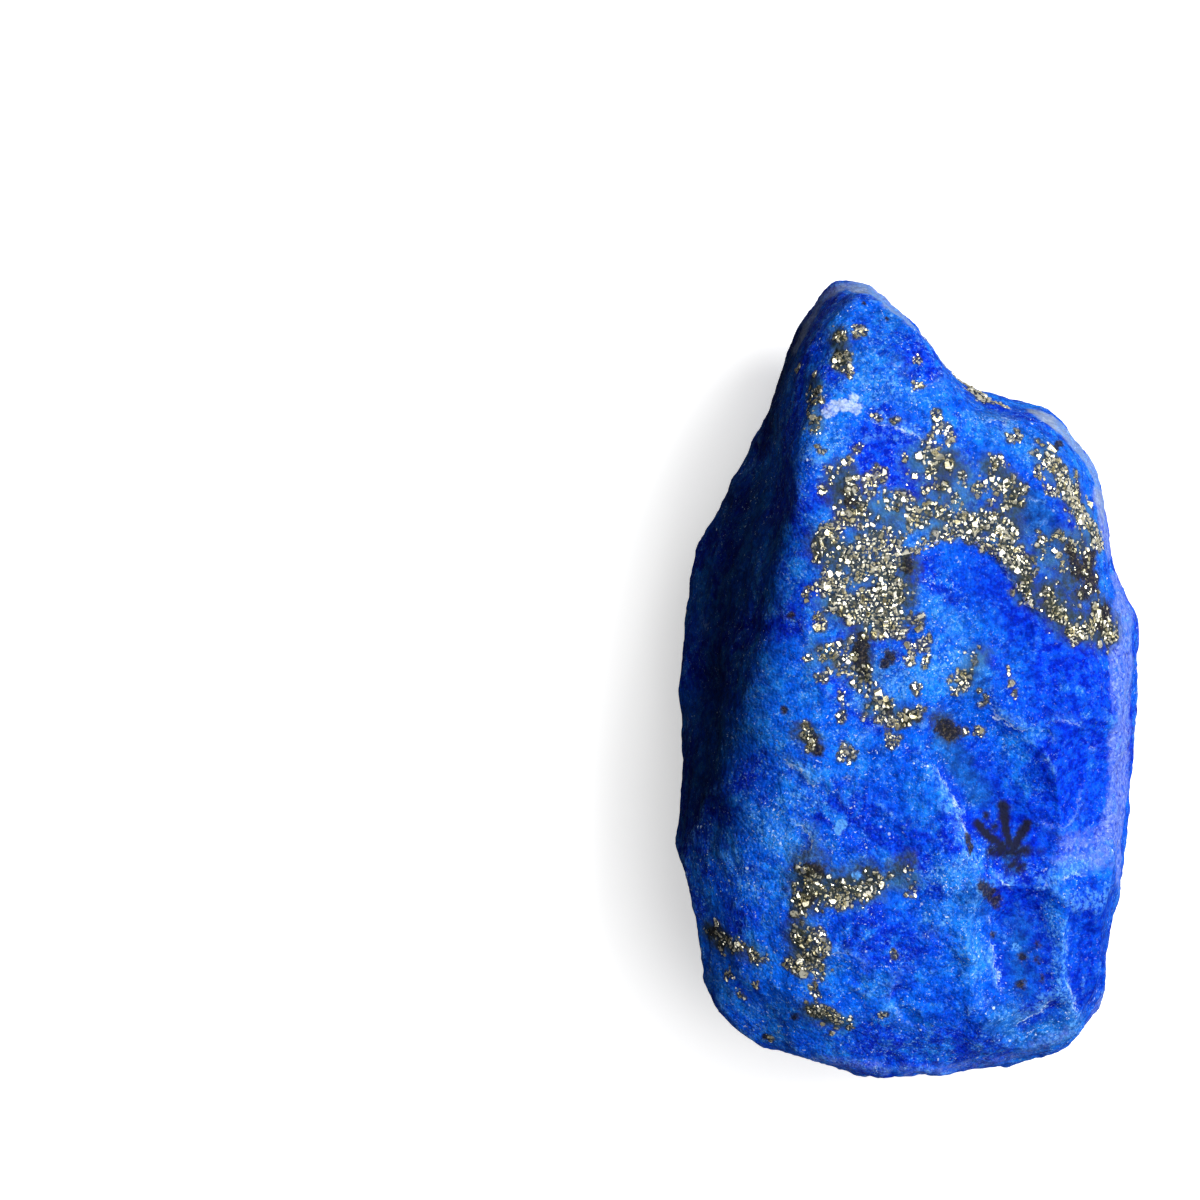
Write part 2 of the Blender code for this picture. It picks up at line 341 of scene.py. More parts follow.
    def outline_curve(self, steps: int = 8) -> Points:
        """Returns points along a closed smooth curve through the outline's corners."""
        c = np.array(self.outline)
        before, after, beyond = np.roll(c, 1, 0), np.roll(c, -1, 0), np.roll(c, -2, 0)
        rows = []
        for t in np.arange(steps) / steps:
            rows.append(
                c
                + 0.5 * t * (after - before)
                + t**2 * (before - 2.5 * c + 2 * after - 0.5 * beyond)
                + t**3 * (1.5 * (c - after) + 0.5 * (beyond - before))
            )
        return np.stack(rows, 1).reshape(-1, 2)

    def wall_gap(self, p: Points) -> Points:
        """Returns how far each point is outside the leaning wall."""
        curve = self.outline_curve() - self.heart[:2]
        around = np.degrees(np.arctan2(curve[:, 1], curve[:, 0]))
        x, y = p[:, 0] - self.heart[0], p[:, 1] - self.heart[1]
        bearing = np.degrees(np.arctan2(y, x))
        bearings, girdle, above, below = np.array(self.wall).T

        def read(values: Points) -> Points:
            """Returns the wall's values at each point's bearing."""
            return np.interp(bearing, bearings, values, period=360)

        rise = p[:, 2] - read(girdle)
        lean = np.where(rise > 0, read(above), read(below))
        spread = np.hypot(rise, self.girdle_round) - self.girdle_round
        reach = np.interp(bearing, around, np.hypot(*curve.T), period=360) - spread * lean
        return (np.hypot(x, y) - reach) / np.sqrt(1 + lean**2)

    def ledge_line(self, places: Points, ledge: Ledge) -> tuple[Points, Points]:
        """Measures the way from a ledge's line.

        Args:
            places: The points, of which x and y are used.
            ledge: The ledge.

        Returns:
            The distance from its line, above zero on the right, and 1 along it but 0 at its ends.
        """
        c = np.array(ledge.corners)
        signed = np.full(len(places), np.inf)
        along = np.zeros(len(places))
        lengths = np.hypot(*(c[1:] - c[:-1]).T)
        done = 0.0
        for a, b, length in zip(c[:-1], c[1:], lengths):
            u = (b - a) / length
            offset = places[:, :2] - a
            t = np.clip(offset @ u, 0, length)
            offset = offset - np.outer(t, u)
            distance = np.hypot(*offset.T)
            closer = distance < np.abs(signed)
            side = np.where(offset @ (u[1], -u[0]) >= 0, 1, -1)
            signed = np.where(closer, distance * side, signed)
            along = np.where(closer, (done + t) / lengths.sum(), along)
            done += length
        return signed, smooth_step(along / self.ledge_end) * smooth_step((1 - along) / self.ledge_end)

    def ledge_drop(self, places: Points, ledge: Ledge) -> Points:
        """Returns how much a ledge lowers the top at each place."""
        signed, ends = self.ledge_line(places, ledge)
        riser = smooth_step(0.5 + signed / self.ledge_step)
        return ledge.drop * ends * riser * np.exp(-np.maximum(signed, 0) / ledge.fade)

    def scar_gap(self, p: Points, scar: Scar) -> Points:
        """Returns how deep each point lies within the round bite that made a scar."""
        away = direction(scar.bearing, scar.elevation) * scar.radius
        axis = np.subtract(scar.stop, scar.start)
        offset = p - (scar.start + away)
        t = np.clip(offset @ axis / (axis @ axis), 0, 1)
        return scar.radius - np.linalg.norm(offset - np.outer(t, axis), axis=1)

    def gap(self, p: Points, worn: tuple[tuple[Points, float], ...] = ()) -> Points:
        """Returns how far each point is outside the stone, below zero inside it."""
        gap = self.wall_gap(p)
        for face in self.top_faces:
            facing = direction(face.bearing, 90 - face.tilt)
            gap = blend_max(gap, (p - face.point) @ facing, self.edge_wear + face.round)
        for face in self.under_faces:
            facing = direction(face.bearing, face.tilt - 90)
            gap = blend_max(gap, (p - face.point) @ facing, self.edge_wear)
        for facing, limit in worn:
            gap = blend_max(gap, p @ facing - limit, self.edge_wear)
        for scar in self.scars:
            gap = blend_max(gap, self.scar_gap(p, scar), self.scar_rim)
        return gap

    def meet(self, rays: Points, worn: tuple[tuple[Points, float], ...] = ()) -> Points:
        """Returns where each ray from the heart first leaves the stone."""
        inside = np.zeros(len(rays))
        outside = np.full(len(rays), self.farthest)
        searching = np.ones(len(rays), bool)
        for reach in np.linspace(self.nearest, self.farthest, self.strides):
            here = self.heart + rays[searching] * reach
            out = np.zeros(len(rays), bool)
            out[searching] = self.gap(here, worn) > 0
            outside[out] = reach
            searching &= ~out
            inside[searching] = reach
        for _ in range(self.halvings):
            middle = (inside + outside) / 2
            out = self.gap(self.heart + rays * middle[:, None], worn) > 0
            outside = np.where(out, middle, outside)
            inside = np.where(out, inside, middle)
        return self.heart + rays * inside[:, None]

    def surface(self, cube: Points) -> Points:
        """Slides the points of a divided cube, 2 across, onto the rock.

        Args:
            cube: The cube's points.

        Returns:
            The same points on the rock's surface.
        """
        even = np.tan(cube * math.pi / 4)
        even[:, 2] += self.lift * (1 - even[:, 2] ** 2)
        rays = even / np.linalg.norm(even, axis=1, keepdims=True) * self.spread
        rays[:, 2] *= np.where(rays[:, 2] > 0, self.spread_up / self.spread[2], 1)
        rays /= np.linalg.norm(rays, axis=1, keepdims=True)
        first = self.meet(rays[:: self.sampled])
        worn = []
        for bearing, elevation, depth in self.worn_faces:
            facing = direction(bearing, elevation)
            worn.append((facing, (first @ facing).max() - depth))
        return self.meet(rays, tuple(worn))

    def relief_height(self, points: Points) -> Points:
        """Returns the height of the rock's own lumps and creases."""
        total = np.zeros(len(points))
        for size, height, place, creased in self.relief:
            wave = lumps(points, size, place)
            total += height * (creases(wave) if creased else wave)
        return total

    def crests(self, points: Points) -> CrestLines:
        """Returns the worn crest lines along the ledges."""
        found = CrestLines.empty(len(points))
        everywhere = np.arange(len(points))
        for ledge in self.ledges:
            if ledge.wear > 0:
                signed, ends = self.ledge_line(points, ledge)
                found.join(everywhere, signed, ledge.wear * ends)
        return found


@dataclass
class Markings:
    """Where each kind of marking lies on the top, in millimetres from the middle of the stone."""

    layout: dict[Mark, tuple[Streak, ...]] = field(default_factory=dict)
    hidden_pyrite: int = 46
    hidden_dark: int = 14
    hidden_widths: tuple[float, float] = (0.2, 0.8)
    hidden_below: float = -0.15
    seen_above: float = 0.05
    flatten: float = 0.35
    seed: int = 21

    def __post_init__(self) -> None:
        """Lays out the markings, kind by kind."""
        self.layout = {
            Mark.PYRITE: self.tip() + self.band() + self.middle() + self.lower_vein(),
            Mark.ZONE: self.zones(),
            Mark.DARK: self.dark(),
            Mark.DENDRITE: self.dendrite(),
            Mark.CALCITE: lines(0.34, 1.0, ((-5.5, 15.5), (-5.1, 15.9), (-4.4, 16.0), (-3.8, 15.7)))
            + lines(0.26, 1.0, ((-4.9, -8.6), (-4.5, -8.2)))
            + dots(0.30, 0.9, (-4.0, 16.4), (-3.8, -11.4)),
            # Paler rims: worn frosting, and a painted sheen where the rims turn away from the top
            Mark.PALE: self.pale(),
            Mark.BRUISE: self.bruise(),
            Mark.AZURE: lines(1.6, 0.7, ((-3.0, -0.6), (0.6, 0.6)), ((2.6, -13.4), (2.4, -16.6)))
            + lines(1.4, 0.7, ((5.5, -5.4), (3.6, -3.8)), ((-2.6, 20.0), (-4.4, 13.4)))
            + lines(0.8, 1.0, ((-7.4, -9.0), (-7.4, -9.8)), ((2.4, -11.1), (2.8, -11.1)))
            + lines(0.9, 0.9, ((3.4, 14.7), (4.6, 14.9)), ((-2.4, 8.8), (0.6, 8.9), (2.2, 10.0)))
            + lines(1.2, 0.6, ((-7.6, -5.6), (-6.6, -6.2)), ((-0.8, 13.8), (1.2, 14.6)))
            + lines(1.6, 0.4, ((1.4, 4.8), (3.0, 3.6), (2.4, 2.2))),
            Mark.DEEP: lines(1.3, 0.9, ((3.4, 6.0), (5.2, 4.4), (6.2, 2.4)))
            + lines(3.0, 1.0, ((8.6, 1.0), (8.9, -3.0), (9.2, -6.4)))
            + lines(1.3, 1.0, ((10.2, -13.6), (10.1, -18.2)))
            + lines(1.5, 1.0, ((2.6, -4.6), (5.0, -7.2), (6.8, -9.2)))
            + lines(1.5, 1.0, ((5.4, -12.6), (6.0, -14.6), (6.2, -17.4)))
            + lines(1.4, 0.7, ((-2.6, -7.4), (-0.4, -9.0)), ((-2.8, 13.4), (-1.6, 12.6)))
            + lines(1.7, 1.0, ((6.0, 10.4), (7.1, 8.9)))
            + lines(1.2, 0.7, ((-1.0, -14.0), (0.6, -15.4)), ((1.4, -19.0), (3.0, -21.0))),
            Mark.TEAL: lines(1.2, 0.9, ((4.8, -20.0), (6.6, -21.0), (8.6, -20.6)))
            + lines(1.3, 0.6, ((5.8, -14.6), (6.0, -17.8)), ((6.8, 13.6), (4.2, 15.4)))
            + lines(1.0, 0.8, ((1.4, -3.8), (2.4, -5.4), (3.4, -6.6)), ((6.0, 10.6), (7.0, 9.4)))
            + lines(1.0, 0.8, ((6.2, 10.0), (7.2, 8.6), (8.4, 7.4)), ((2.8, 1.4), (3.2, -0.4)))
            + lines(0.9, 0.7, ((2.8, -12.4), (3.4, -13.2)), ((-3.6, 2.2), (-2.2, 0.8))),
            Mark.SMOOTH: lines(1.8, 0.8, ((3.6, 5.4), (4.6, 4.2), (5.4, 2.4)))
            + lines(3.0, 0.7, ((-12.0, 6.0), (-12.4, 0.0), (-12.6, -6.0)))
            + lines(1.6, 1.0, ((-7.4, 10.0), (-7.8, 4.6), (-8.6, 0.0), (-10.0, -4.4), (-11.0, -7.0))),
            # Painted shade: the left flank and the tip's left side are darkened, and more lightly a few
            # hollows and patches
            Mark.DUSK: lines(3.0, 1.0, ((-10.2, 10.5), (-11.3, 5.0), (-11.8, -1.0), (-12.6, -7.0)))
            + lines(1.4, 1.0, ((-9.0, 14.0), (-8.0, 17.5), (-6.9, 20.6)))
            + lines(1.5, 0.8, ((-8.4, 9.0), (-9.0, 5.0), (-9.6, 1.0), (-10.6, -3.0)))
            + lines(2.0, 0.24, ((10.6, -13.8), (10.2, -18.4)), ((5.8, -14.0), (6.4, -18.0)))
            + lines(1.7, 0.20, ((1.6, -3.4), (3.4, -6.0), (4.8, -8.4)), ((5.8, 10.8), (7.2, 9.0)))
            + lines(2.2, 0.14, ((1.2, 4.6), (3.6, 4.0)), ((-7.2, 12.4), (-7.8, 5.0), (-8.4, -2.0)))
            + lines(2.0, 0.12, ((-1.0, -6.6), (0.4, -9.8)), ((-2.0, 21.0), (-3.6, 18.0))),
            Mark.SMOKE: self.smoke(),
        }

    def tip(self) -> tuple[Streak, ...]:
        """Returns the few grains near the pointed end."""
        return (
            dots(0.42, 1.0, (-3.6, 20.4), (-4.7, 18.7), (1.0, 14.8), (5.5, 14.2))
            + dots(0.30, 1.0, (-4.7, 20.1), (-4.1, 17.8), (0.9, 15.4), (-0.2, 17.1), (0.5, 14.0))
            + dots(0.22, 1.0, (-0.2, 18.7), (-2.6, 15.3), (-1.6, 15.0), (1.6, 14.0), (-7.1, 18.2))
            + dots(0.24, 0.9, (-6.2, 16.8), (-6.3, 15.1), (-5.9, 13.3), (-3.8, 13.4), (-1.0, 13.0))
            + dots(0.20, 0.9, (-6.0, 16.2), (-6.2, 14.4), (-4.4, 12.6), (-5.6, 12.2), (-5.9, 11.0))
            + lines(0.40, 0.9, ((2.4, 17.9), (3.3, 17.2), (3.9, 16.7)))
            + dots(0.40, 1.0, (5.1, 16.1))
        )

    def band(self) -> tuple[Streak, ...]:
        """Returns the rich band that crosses the top."""
        column = ((7.6, 12.7), (8.2, 12.2), (8.4, 11.4), (8.9, 10.9), (9.3, 10.1), (9.4, 9.4))
        return (
            lines(0.44, 1.0, column, ((-3.6, 7.9), (-2.9, 7.9), (-2.1, 7.7), (-1.5, 7.5)))
            + lines(0.34, 1.0, ((10.0, 9.1), (10.3, 8.5), (10.5, 8.0)))
            + lines(0.50, 1.0, ((4.6, 7.6), (5.3, 7.2), (5.9, 6.9), (6.1, 6.4)))
            + lines(0.30, 1.0, ((5.9, 5.5), (6.1, 4.9)), ((10.9, 2.7), (11.4, 2.5)))
            + lines(0.27, 0.9, ((7.2, 5.3), (7.5, 4.6), (7.7, 3.9), (8.2, 3.6)))
            + lines(0.27, 1.0, ((8.5, 3.1), (8.9, 2.4), (9.4, 2.9), (10.1, 3.4)))
            + dots(0.30, 1.0, (6.9, 12.1), (7.5, 11.0), (8.0, 8.4), (6.9, 8.2))
            + dots(0.34, 1.0, (4.1, 12.6), (4.6, 11.2), (3.4, 11.2), (5.8, 10.9), (5.2, 10.6))
            + lines(0.42, 1.0, ((3.9, 9.4), (4.7, 8.9), (5.2, 8.4)), ((2.4, 9.3), (3.2, 9.1)))
            + lines(0.22, 1.0, ((-0.6, 7.5), (0.1, 7.9), (0.8, 8.3), (1.4, 8.5), (2.2, 8.5)))
            + lines(0.26, 1.0, ((2.6, 8.4), (3.3, 8.1), (3.8, 7.8), (4.4, 7.5)))
            + lines(0.40, 1.0, ((-3.1, 11.1), (-2.9, 11.7), (-2.4, 12.0)))
            + dots(0.26, 1.0, (-2.1, 10.8), (-1.0, 10.5), (0.4, 10.1), (1.3, 11.1), (2.2, 11.8))
            + dots(0.36, 1.0, (-3.5, 10.0), (-4.1, 9.5), (-1.6, 10.3), (-0.6, 9.7), (-0.1, 9.3))
            + dots(0.30, 1.0, (0.9, 9.7), (1.4, 9.4), (0.5, 12.2), (1.6, 12.7), (0.0, 13.2))
            + dots(0.22, 0.9, (0.7, 11.3), (1.9, 10.7), (0.2, 11.1), (0.8, 12.8), (-2.7, 9.4))
            + lines(0.38, 0.9, ((-6.0, 8.2), (-5.6, 8.6), (-4.9, 9.0), (-4.5, 9.3)))
            + lines(0.20, 0.9, ((-6.2, 7.6), (-6.1, 7.0)))
            + lines(0.42, 1.0, ((-4.2, 7.2), (-3.4, 6.8), (-2.4, 6.8), (-1.5, 6.9)))
            + lines(0.50, 1.0, ((-2.2, 6.1), (-1.8, 5.6), (-1.5, 4.9), (-1.9, 4.3)))
            + lines(0.42, 1.0, ((-5.8, 5.4), (-5.4, 5.9), (-4.9, 5.4)))
            + lines(0.54, 1.0, ((-4.9, 4.7), (-4.2, 4.4), (-3.4, 4.6), (-2.7, 4.7), (-2.2, 5.1)))
            + lines(0.50, 1.0, ((-4.0, 3.9), (-3.3, 3.8), (-2.4, 4.0), (-1.8, 3.8)))
            + lines(0.42, 1.0, ((-2.6, 2.9), (-2.0, 3.1), (-1.5, 2.8)))
            + dots(0.26, 1.0, (-0.7, 3.6), (-0.2, 3.5), (-6.7, 5.0), (-3.7, 6.0), (-5.3, 4.4))
            + lines(0.24, 1.0, ((-6.1, 3.7), (-6.0, 3.0)))
        )

    def middle(self) -> tuple[Streak, ...]:
        """Returns the scattered grains below the band."""
        return (
            dots(0.28, 1.0, (0.3, 2.4), (-0.6, 1.7), (-0.1, 1.9), (-0.8, 1.1), (-5.1, 1.4))
            + dots(0.34, 1.0, (-5.8, 0.2), (-0.4, -0.4), (2.4, 0.1), (-2.4, -2.1))
            + dots(0.20, 0.9, (-6.7, 1.3), (1.8, -0.7), (3.6, -0.9), (3.0, 1.3), (3.3, -2.8))
            + dots(0.18, 0.9, (-4.0, 1.5), (-3.2, 0.7), (-4.2, 2.4), (-3.1, 0.2), (2.6, -2.8))
            + dots(0.17, 0.9, (3.3, -0.6), (5.1, -0.3), (5.4, -0.7), (4.9, 0.8), (3.4, -1.4))
            + dots(0.24, 0.9, (-4.8, 2.1), (-4.8, -0.9), (-3.7, -0.4), (0.2, 1.1))
            + lines(0.30, 1.0, ((2.3, 0.3), (2.5, -0.3)), ((-1.3, -2.3), (-0.6, -2.0), (-0.2, -1.8)))
            + dots(0.40, 1.0, (-1.7, -3.3), (-2.4, -1.3), (-6.7, -3.0))
            + dots(0.28, 1.0, (-4.7, -2.2), (-6.4, -3.8), (-2.0, -2.4), (3.3, -3.0))
            + dots(0.50, 1.0, (-4.3, -4.3))
        )

    def lower_vein(self) -> tuple[Streak, ...]:
        """Returns the short vein near the blunt end and what trails from it."""
        return (
            lines(0.34, 0.60, ((-6.1, -11.4), (-6.1, -11.9), (-6.7, -12.2)))
            + lines(0.36, 1.0, ((-7.0, -12.9), (-7.2, -13.5)), ((-3.2, -12.3), (-2.5, -11.8)))
            + lines(0.36, 0.62, ((-5.6, -12.3), (-4.6, -12.5), (-3.8, -12.1)))
            + lines(0.32, 0.75, ((-5.0, -13.0), (-4.4, -12.9)), ((-7.3, -14.8), (-6.7, -15.5)))
            + lines(0.40, 1.0, ((-6.0, -14.7), (-5.7, -15.5), (-6.1, -16.2)))
            + lines(0.40, 1.0, ((-7.4, -16.6), (-7.0, -16.9), (-6.6, -16.3)))
            + lines(0.22, 1.0, ((-6.2, -18.0), (-6.0, -18.3)), ((-9.8, -16.0), (-9.4, -16.3)))
            + lines(0.28, 0.70, ((-6.2, -19.6), (-5.5, -19.3), (-5.1, -19.6), (-4.7, -20.0)))
            + dots(0.20, 0.9, (-4.0, -20.3), (-1.6, -15.8), (-9.6, -17.9), (-8.6, -21.2))
            + dots(0.24, 1.0, (-2.1, -19.5), (-11.2, -17.3), (-10.5, -18.5))
            + lines(0.30, 0.66, ((-11.9, -15.1), (-11.4, -15.3)), ((-10.9, -15.6), (-10.5, -15.6)))
        )

    def zones(self) -> tuple[Streak, ...]:
        """Returns the slate-tinted rock that pyrite is strewn through."""
        return (
            lines(0.9, 0.9, ((-4.6, 11.6), (-4.4, 10.6)), ((-4.8, 7.7), (-5.2, 7.0)))
            + lines(1.3, 0.9, ((0.2, 12.6), (1.8, 12.0), (2.2, 10.6), (0.8, 10.4)))
            + lines(1.1, 1.0, ((-3.0, 9.6), (-0.8, 9.8), (1.2, 9.4), (3.4, 9.2), (5.0, 8.4)))
            + lines(0.9, 0.8, ((-3.4, 8.6), (-1.6, 8.6)), ((7.4, 5.0), (8.4, 3.4), (11.0, 2.8)))
            + lines(1.2, 1.0, ((-4.4, 6.2), (-2.4, 6.4), (-2.0, 5.0)), ((-5.0, 4.6), (-2.2, 3.6)))
            + lines(0.8, 0.9, ((4.0, 12.4), (4.9, 11.0), (4.9, 9.4)))
            + lines(0.9, 0.9, ((7.4, 12.9), (8.4, 11.6), (9.5, 9.6), (10.2, 8.2)))
            + lines(0.9, 0.45, ((9.8, 6.8), (9.8, 5.2)), ((10.4, 4.2), (10.8, 3.0)))
            + lines(0.7, 0.8, ((8.0, 8.3), (9.4, 8.2)), ((6.0, 6.6), (6.1, 4.9)), ((6.8, 7.4), (8.6, 6.0)))
            + lines(0.9, 0.7, ((-6.0, 1.6), (-4.0, 0.8), (-3.2, 0.0)), ((-6.4, -11.4), (-6.8, -13.0)))
            + lines(0.7, 0.7, ((-3.0, -1.6), (-0.4, -2.0)), ((2.2, 0.0), (3.4, 1.6)))
            + lines(0.9, 0.9, ((-6.0, -12.4), (-2.6, -12.0)), ((-6.8, -14.8), (-6.4, -16.6)))
            + lines(0.6, 0.8, ((-12.0, -15.1), (-9.6, -16.2)), ((-6.2, -19.4), (-4.4, -20.1)))
            + lines(0.5, 0.9, ((-4.9, 20.0), (-4.7, 18.4)), ((-6.4, 17.4), (-6.2, 14.6)))
            + lines(0.7, 0.9, ((2.4, 18.0), (3.8, 16.8)), ((-1.8, -11.5), (-0.8, -11.6)))
        )

    def smoke(self) -> tuple[Streak, ...]:
        """Returns the olive-grey patches, clouded into the rock."""
        return (
            lines(0.95, 1.0, ((-4.7, 11.9), (-4.9, 11.0), (-4.3, 10.2)), ((-5.9, 7.9), (-5.2, 7.2)))
            + lines(1.0, 1.0, ((9.3, 7.4), (9.4, 6.3), (9.0, 5.4)), ((10.4, 4.2), (10.9, 3.3)))
            + lines(1.2, 1.0, ((7.4, 4.8), (8.8, 3.6), (10.6, 3.0)), ((-6.4, -10.8), (-6.6, -12.4)))
            + lines(0.85, 1.0, ((-5.3, -11.8), (-4.2, -11.6), (-3.2, -11.2)))
            + lines(0.6, 0.9, ((-1.6, -10.7), (-0.8, -10.4)), ((-0.6, 6.9), (-0.8, 5.6), (-0.9, 4.6)))
            + lines(0.7, 0.9, ((-3.8, 2.4), (-3.5, 1.2)), ((1.0, -2.2), (1.6, -3.0)))
            + lines(0.7, 0.9, ((-6.9, -3.0), (-6.3, -3.6)), ((-7.3, -14.4), (-6.9, -16.4)))
            + lines(0.6, 0.9, ((-6.4, -19.3), (-5.6, -19.8)), ((-12.2, -14.9), (-11.2, -15.6)))
            + lines(0.7, 0.8, ((1.6, 12.9), (1.2, 11.4)), ((4.0, 12.6), (5.2, 11.2), (5.4, 9.6)))
            + lines(0.6, 0.9, ((-4.9, 20.0), (-4.6, 18.6)), ((5.0, 7.4), (6.2, 5.6)))
        )

    def dark(self) -> tuple[Streak, ...]:
        """Returns the brown-black spots, most of them beside pyrite."""
        return (
            lines(0.50, 0.95, ((10.0, 7.2), (9.5, 6.3), (10.1, 5.8), (9.6, 5.1)))
            + lines(0.46, 0.85, ((8.7, 7.8), (8.9, 7.0), (9.2, 6.2)), ((10.2, 4.2), (10.6, 3.6)))
            + lines(0.44, 1.0, ((10.9, 4.0), (10.5, 3.4), (11.0, 2.7)))
            + lines(0.42, 1.0, ((-3.5, 2.4), (-3.7, 1.5), (-3.4, 0.4)), ((3.6, -12.0), (4.2, -12.5)))
            + dots(0.42, 1.0, (-1.9, 1.4), (4.5, -12.9), (-6.4, -3.5), (-6.0, -4.1))
            + dots(0.30, 1.0, (-2.1, -1.3), (-2.2, 0.9), (-2.0, -1.7), (-0.3, -2.1))
            + lines(0.54, 1.0, ((1.2, -2.7), (1.8, -3.1)))
            + lines(0.42, 1.0, ((-6.6, -11.0), (-6.0, -11.1)))
            + dots(0.26, 0.95, (-8.0, -1.6), (-7.6, 3.7), (-8.7, -21.1))
            + dots(0.34, 0.85, (6.0, -16.2), (6.0, -17.8))
            + dots(0.30, 0.72, (6.9, -15.4), (6.9, -16.4), (7.3, -17.6), (4.3, -14.9), (-7.2, -19.8))
            + lines(0.28, 0.9, ((-1.2, -2.6), (-0.6, -1.9)), ((-0.9, 7.1), (-0.9, 6.4)))
            + lines(0.36, 0.9, ((-6.3, -12.4), (-6.7, -13.0)), ((-4.4, 10.9), (-4.2, 10.3)))
            + lines(0.20, 0.9, ((2.6, -9.0), (2.9, -9.8)), ((8.3, 13.9), (7.7, 13.4)))
            + dots(0.14, 1.0, (-3.2, 22.0), (-1.9, 21.1))
            + dots(0.36, 0.8, (-11.9, -14.9), (-2.6, 5.4))
        )

    def dendrite(self) -> tuple[Streak, ...]:
        """Returns the fan of dark strokes in the hollow below the crest."""
        return (
            lines(0.33, 1.0, ((4.8, -7.2), (4.9, -8.1)))
            + lines(0.24, 1.0, ((4.9, -8.1), (5.0, -8.9), (5.3, -9.5)), ((6.1, -8.5), (5.7, -9.3)))
            + lines(0.29, 1.0, ((3.3, -8.3), (3.7, -8.8), (4.2, -9.2), (4.8, -9.7)))
            + dots(0.26, 0.9, (3.8, -7.9), (4.3, -8.5))
            + lines(0.30, 1.0, ((6.2, -8.4), (6.0, -8.8)), ((5.7, -9.3), (5.4, -9.9)))
            + lines(0.40, 0.85, ((4.1, -9.9), (5.2, -10.0), (6.2, -10.0)), ((5.2, -10.7), (5.9, -10.8)))
            + dots(0.34, 0.62, (7.1, -10.0))
        )

    def pale(self) -> tuple[Streak, ...]:
        """Returns the paler rims: worn frosting, and a painted sheen where they turn away from the top."""
        rim = ((7.3, 15.9), (8.7, 14.8), (10.0, 13.2), (10.8, 11.7), (11.0, 10.0), (11.4, 7.7))
        return (
            lines(0.95, 1.0, ((-3.0, 23.2), (-1.9, 22.2), (-0.4, 20.9), (0.9, 19.6), (2.0, 18.5)))
            + lines(0.75, 1.0, rim, ((11.9, 5.6), (12.7, 4.0)))
            + lines(0.6, 0.65, ((-4.2, 23.3), (-5.4, 22.6), (-6.2, 21.4), (-6.9, 19.8)))
            + lines(1.10, 1.0, ((12.3, 4.6), (12.1, 2.0), (12.1, -2.0), (12.0, -6.0), (11.7, -8.6)))
            + lines(1.2, 0.55, ((8.8, -9.6), (11.4, -9.2)), ((8.4, -10.6), (11.2, -10.4)))
            + lines(0.5, 0.7, ((11.5, -16.4), (11.4, -18.4), (10.4, -20.6)), ((11.9, -8.6), (12.0, -12.0)))
            + lines(0.8, 0.5, ((-6.0, -22.4), (0.0, -23.2), (5.0, -22.6), (9.0, -20.8)))
        )

    def bruise(self) -> tuple[Streak, ...]:
        """Returns the bruised places, where the rock is crushed to pale crumbs."""
        return (
            lines(0.6, 1.0, ((-2.4, 22.6), (-0.4, 20.9), (1.2, 19.2)), ((8.7, 14.8), (10.8, 11.7)))
            + lines(0.34, 1.0, ((7.6, -13.2), (7.9, -14.8)))
            + lines(0.50, 0.9, ((8.3, -14.6), (8.3, -16.6), (8.4, -18.4), (9.2, -20.0)))
            + lines(0.8, 0.6, ((0.0, 4.4), (1.2, 3.6), (2.2, 2.6)))
            + lines(0.5, 0.9, ((8.0, -11.1), (9.6, -10.8)), ((9.0, -19.4), (9.6, -20.8)))
            + lines(0.8, 0.9, ((-3.2, 16.7), (-2.0, 17.4), (-0.8, 16.4)), ((-6.4, 14.8), (-5.0, 14.0)))
            + lines(0.32, 1.0, ((-8.1, -6.9), (-7.1, -6.8), (-6.2, -6.2)), ((-0.4, 16.2), (0.6, 16.0)))
            + lines(0.36, 1.0, ((5.9, 13.4), (6.8, 13.2), (6.2, 12.8)), ((6.4, -2.9), (7.0, -2.9)))
            + lines(0.9, 0.8, ((-9.4, -8.2), (-8.2, -9.6)), ((-3.4, -1.0), (-0.4, 0.4), (1.6, 1.2)))
            + lines(0.8, 0.8, ((0.6, -13.6), (2.6, -14.4), (3.2, -16.6)), ((1.2, -11.2), (3.0, -10.6)))
            + lines(0.7, 0.8, ((-10.8, -11.0), (-9.8, -12.4)), ((-7.8, -9.2), (-7.0, -10.2)))
            + lines(0.5, 0.7, ((4.9, -19.4), (5.6, -20.8)), ((7.6, -20.4), (7.9, -20.8)))
            + lines(0.5, 0.7, ((4.2, 15.0), (2.6, 15.4)))
            + lines(0.7, 0.7, ((-1.6, 9.2), (0.4, 8.9)), ((-5.0, 6.6), (-4.6, 7.8)))
            + dots(0.34, 0.9, (2.8, -15.4), (3.0, -14.9), (5.0, -19.8), (7.6, -20.6), (1.6, -13.2))
            + dots(0.30, 0.9, (9.2, -0.5), (8.3, -0.4), (9.6, -1.8), (10.0, -5.0), (5.6, -15.6))
            + dots(0.42, 0.8, (-4.0, -10.8), (0.1, -11.5), (-9.0, -14.0), (-1.8, -21.4), (3.4, -21.6))
        )

    def anchors(self, streak: Streak, points: Points, normals: Points) -> Points:
        """Finds where a streak lies on the stone.

        Args:
            streak: The streak, as places seen from above.
            points: The stone's points.
            normals: The way that each one faces.

        Returns:
            Points of the stone that follow the streak closely.
        """
        places = np.array(streak.places)
        rows = [places[:1]]
        for a, b in zip(places[:-1], places[1:]):
            count = max(1, int(np.hypot(*(b - a)) / (0.5 * streak.width)) + 1)
            rows.append(a + (b - a) * (np.arange(1, count + 1) / count)[:, None])
        seen = points[normals[:, 2] > self.seen_above]
        found = []
        for place in np.concatenate(rows):
            found.append(seen[np.argmin(((seen[:, :2] - place) ** 2).sum(1))])
        return np.array(found)

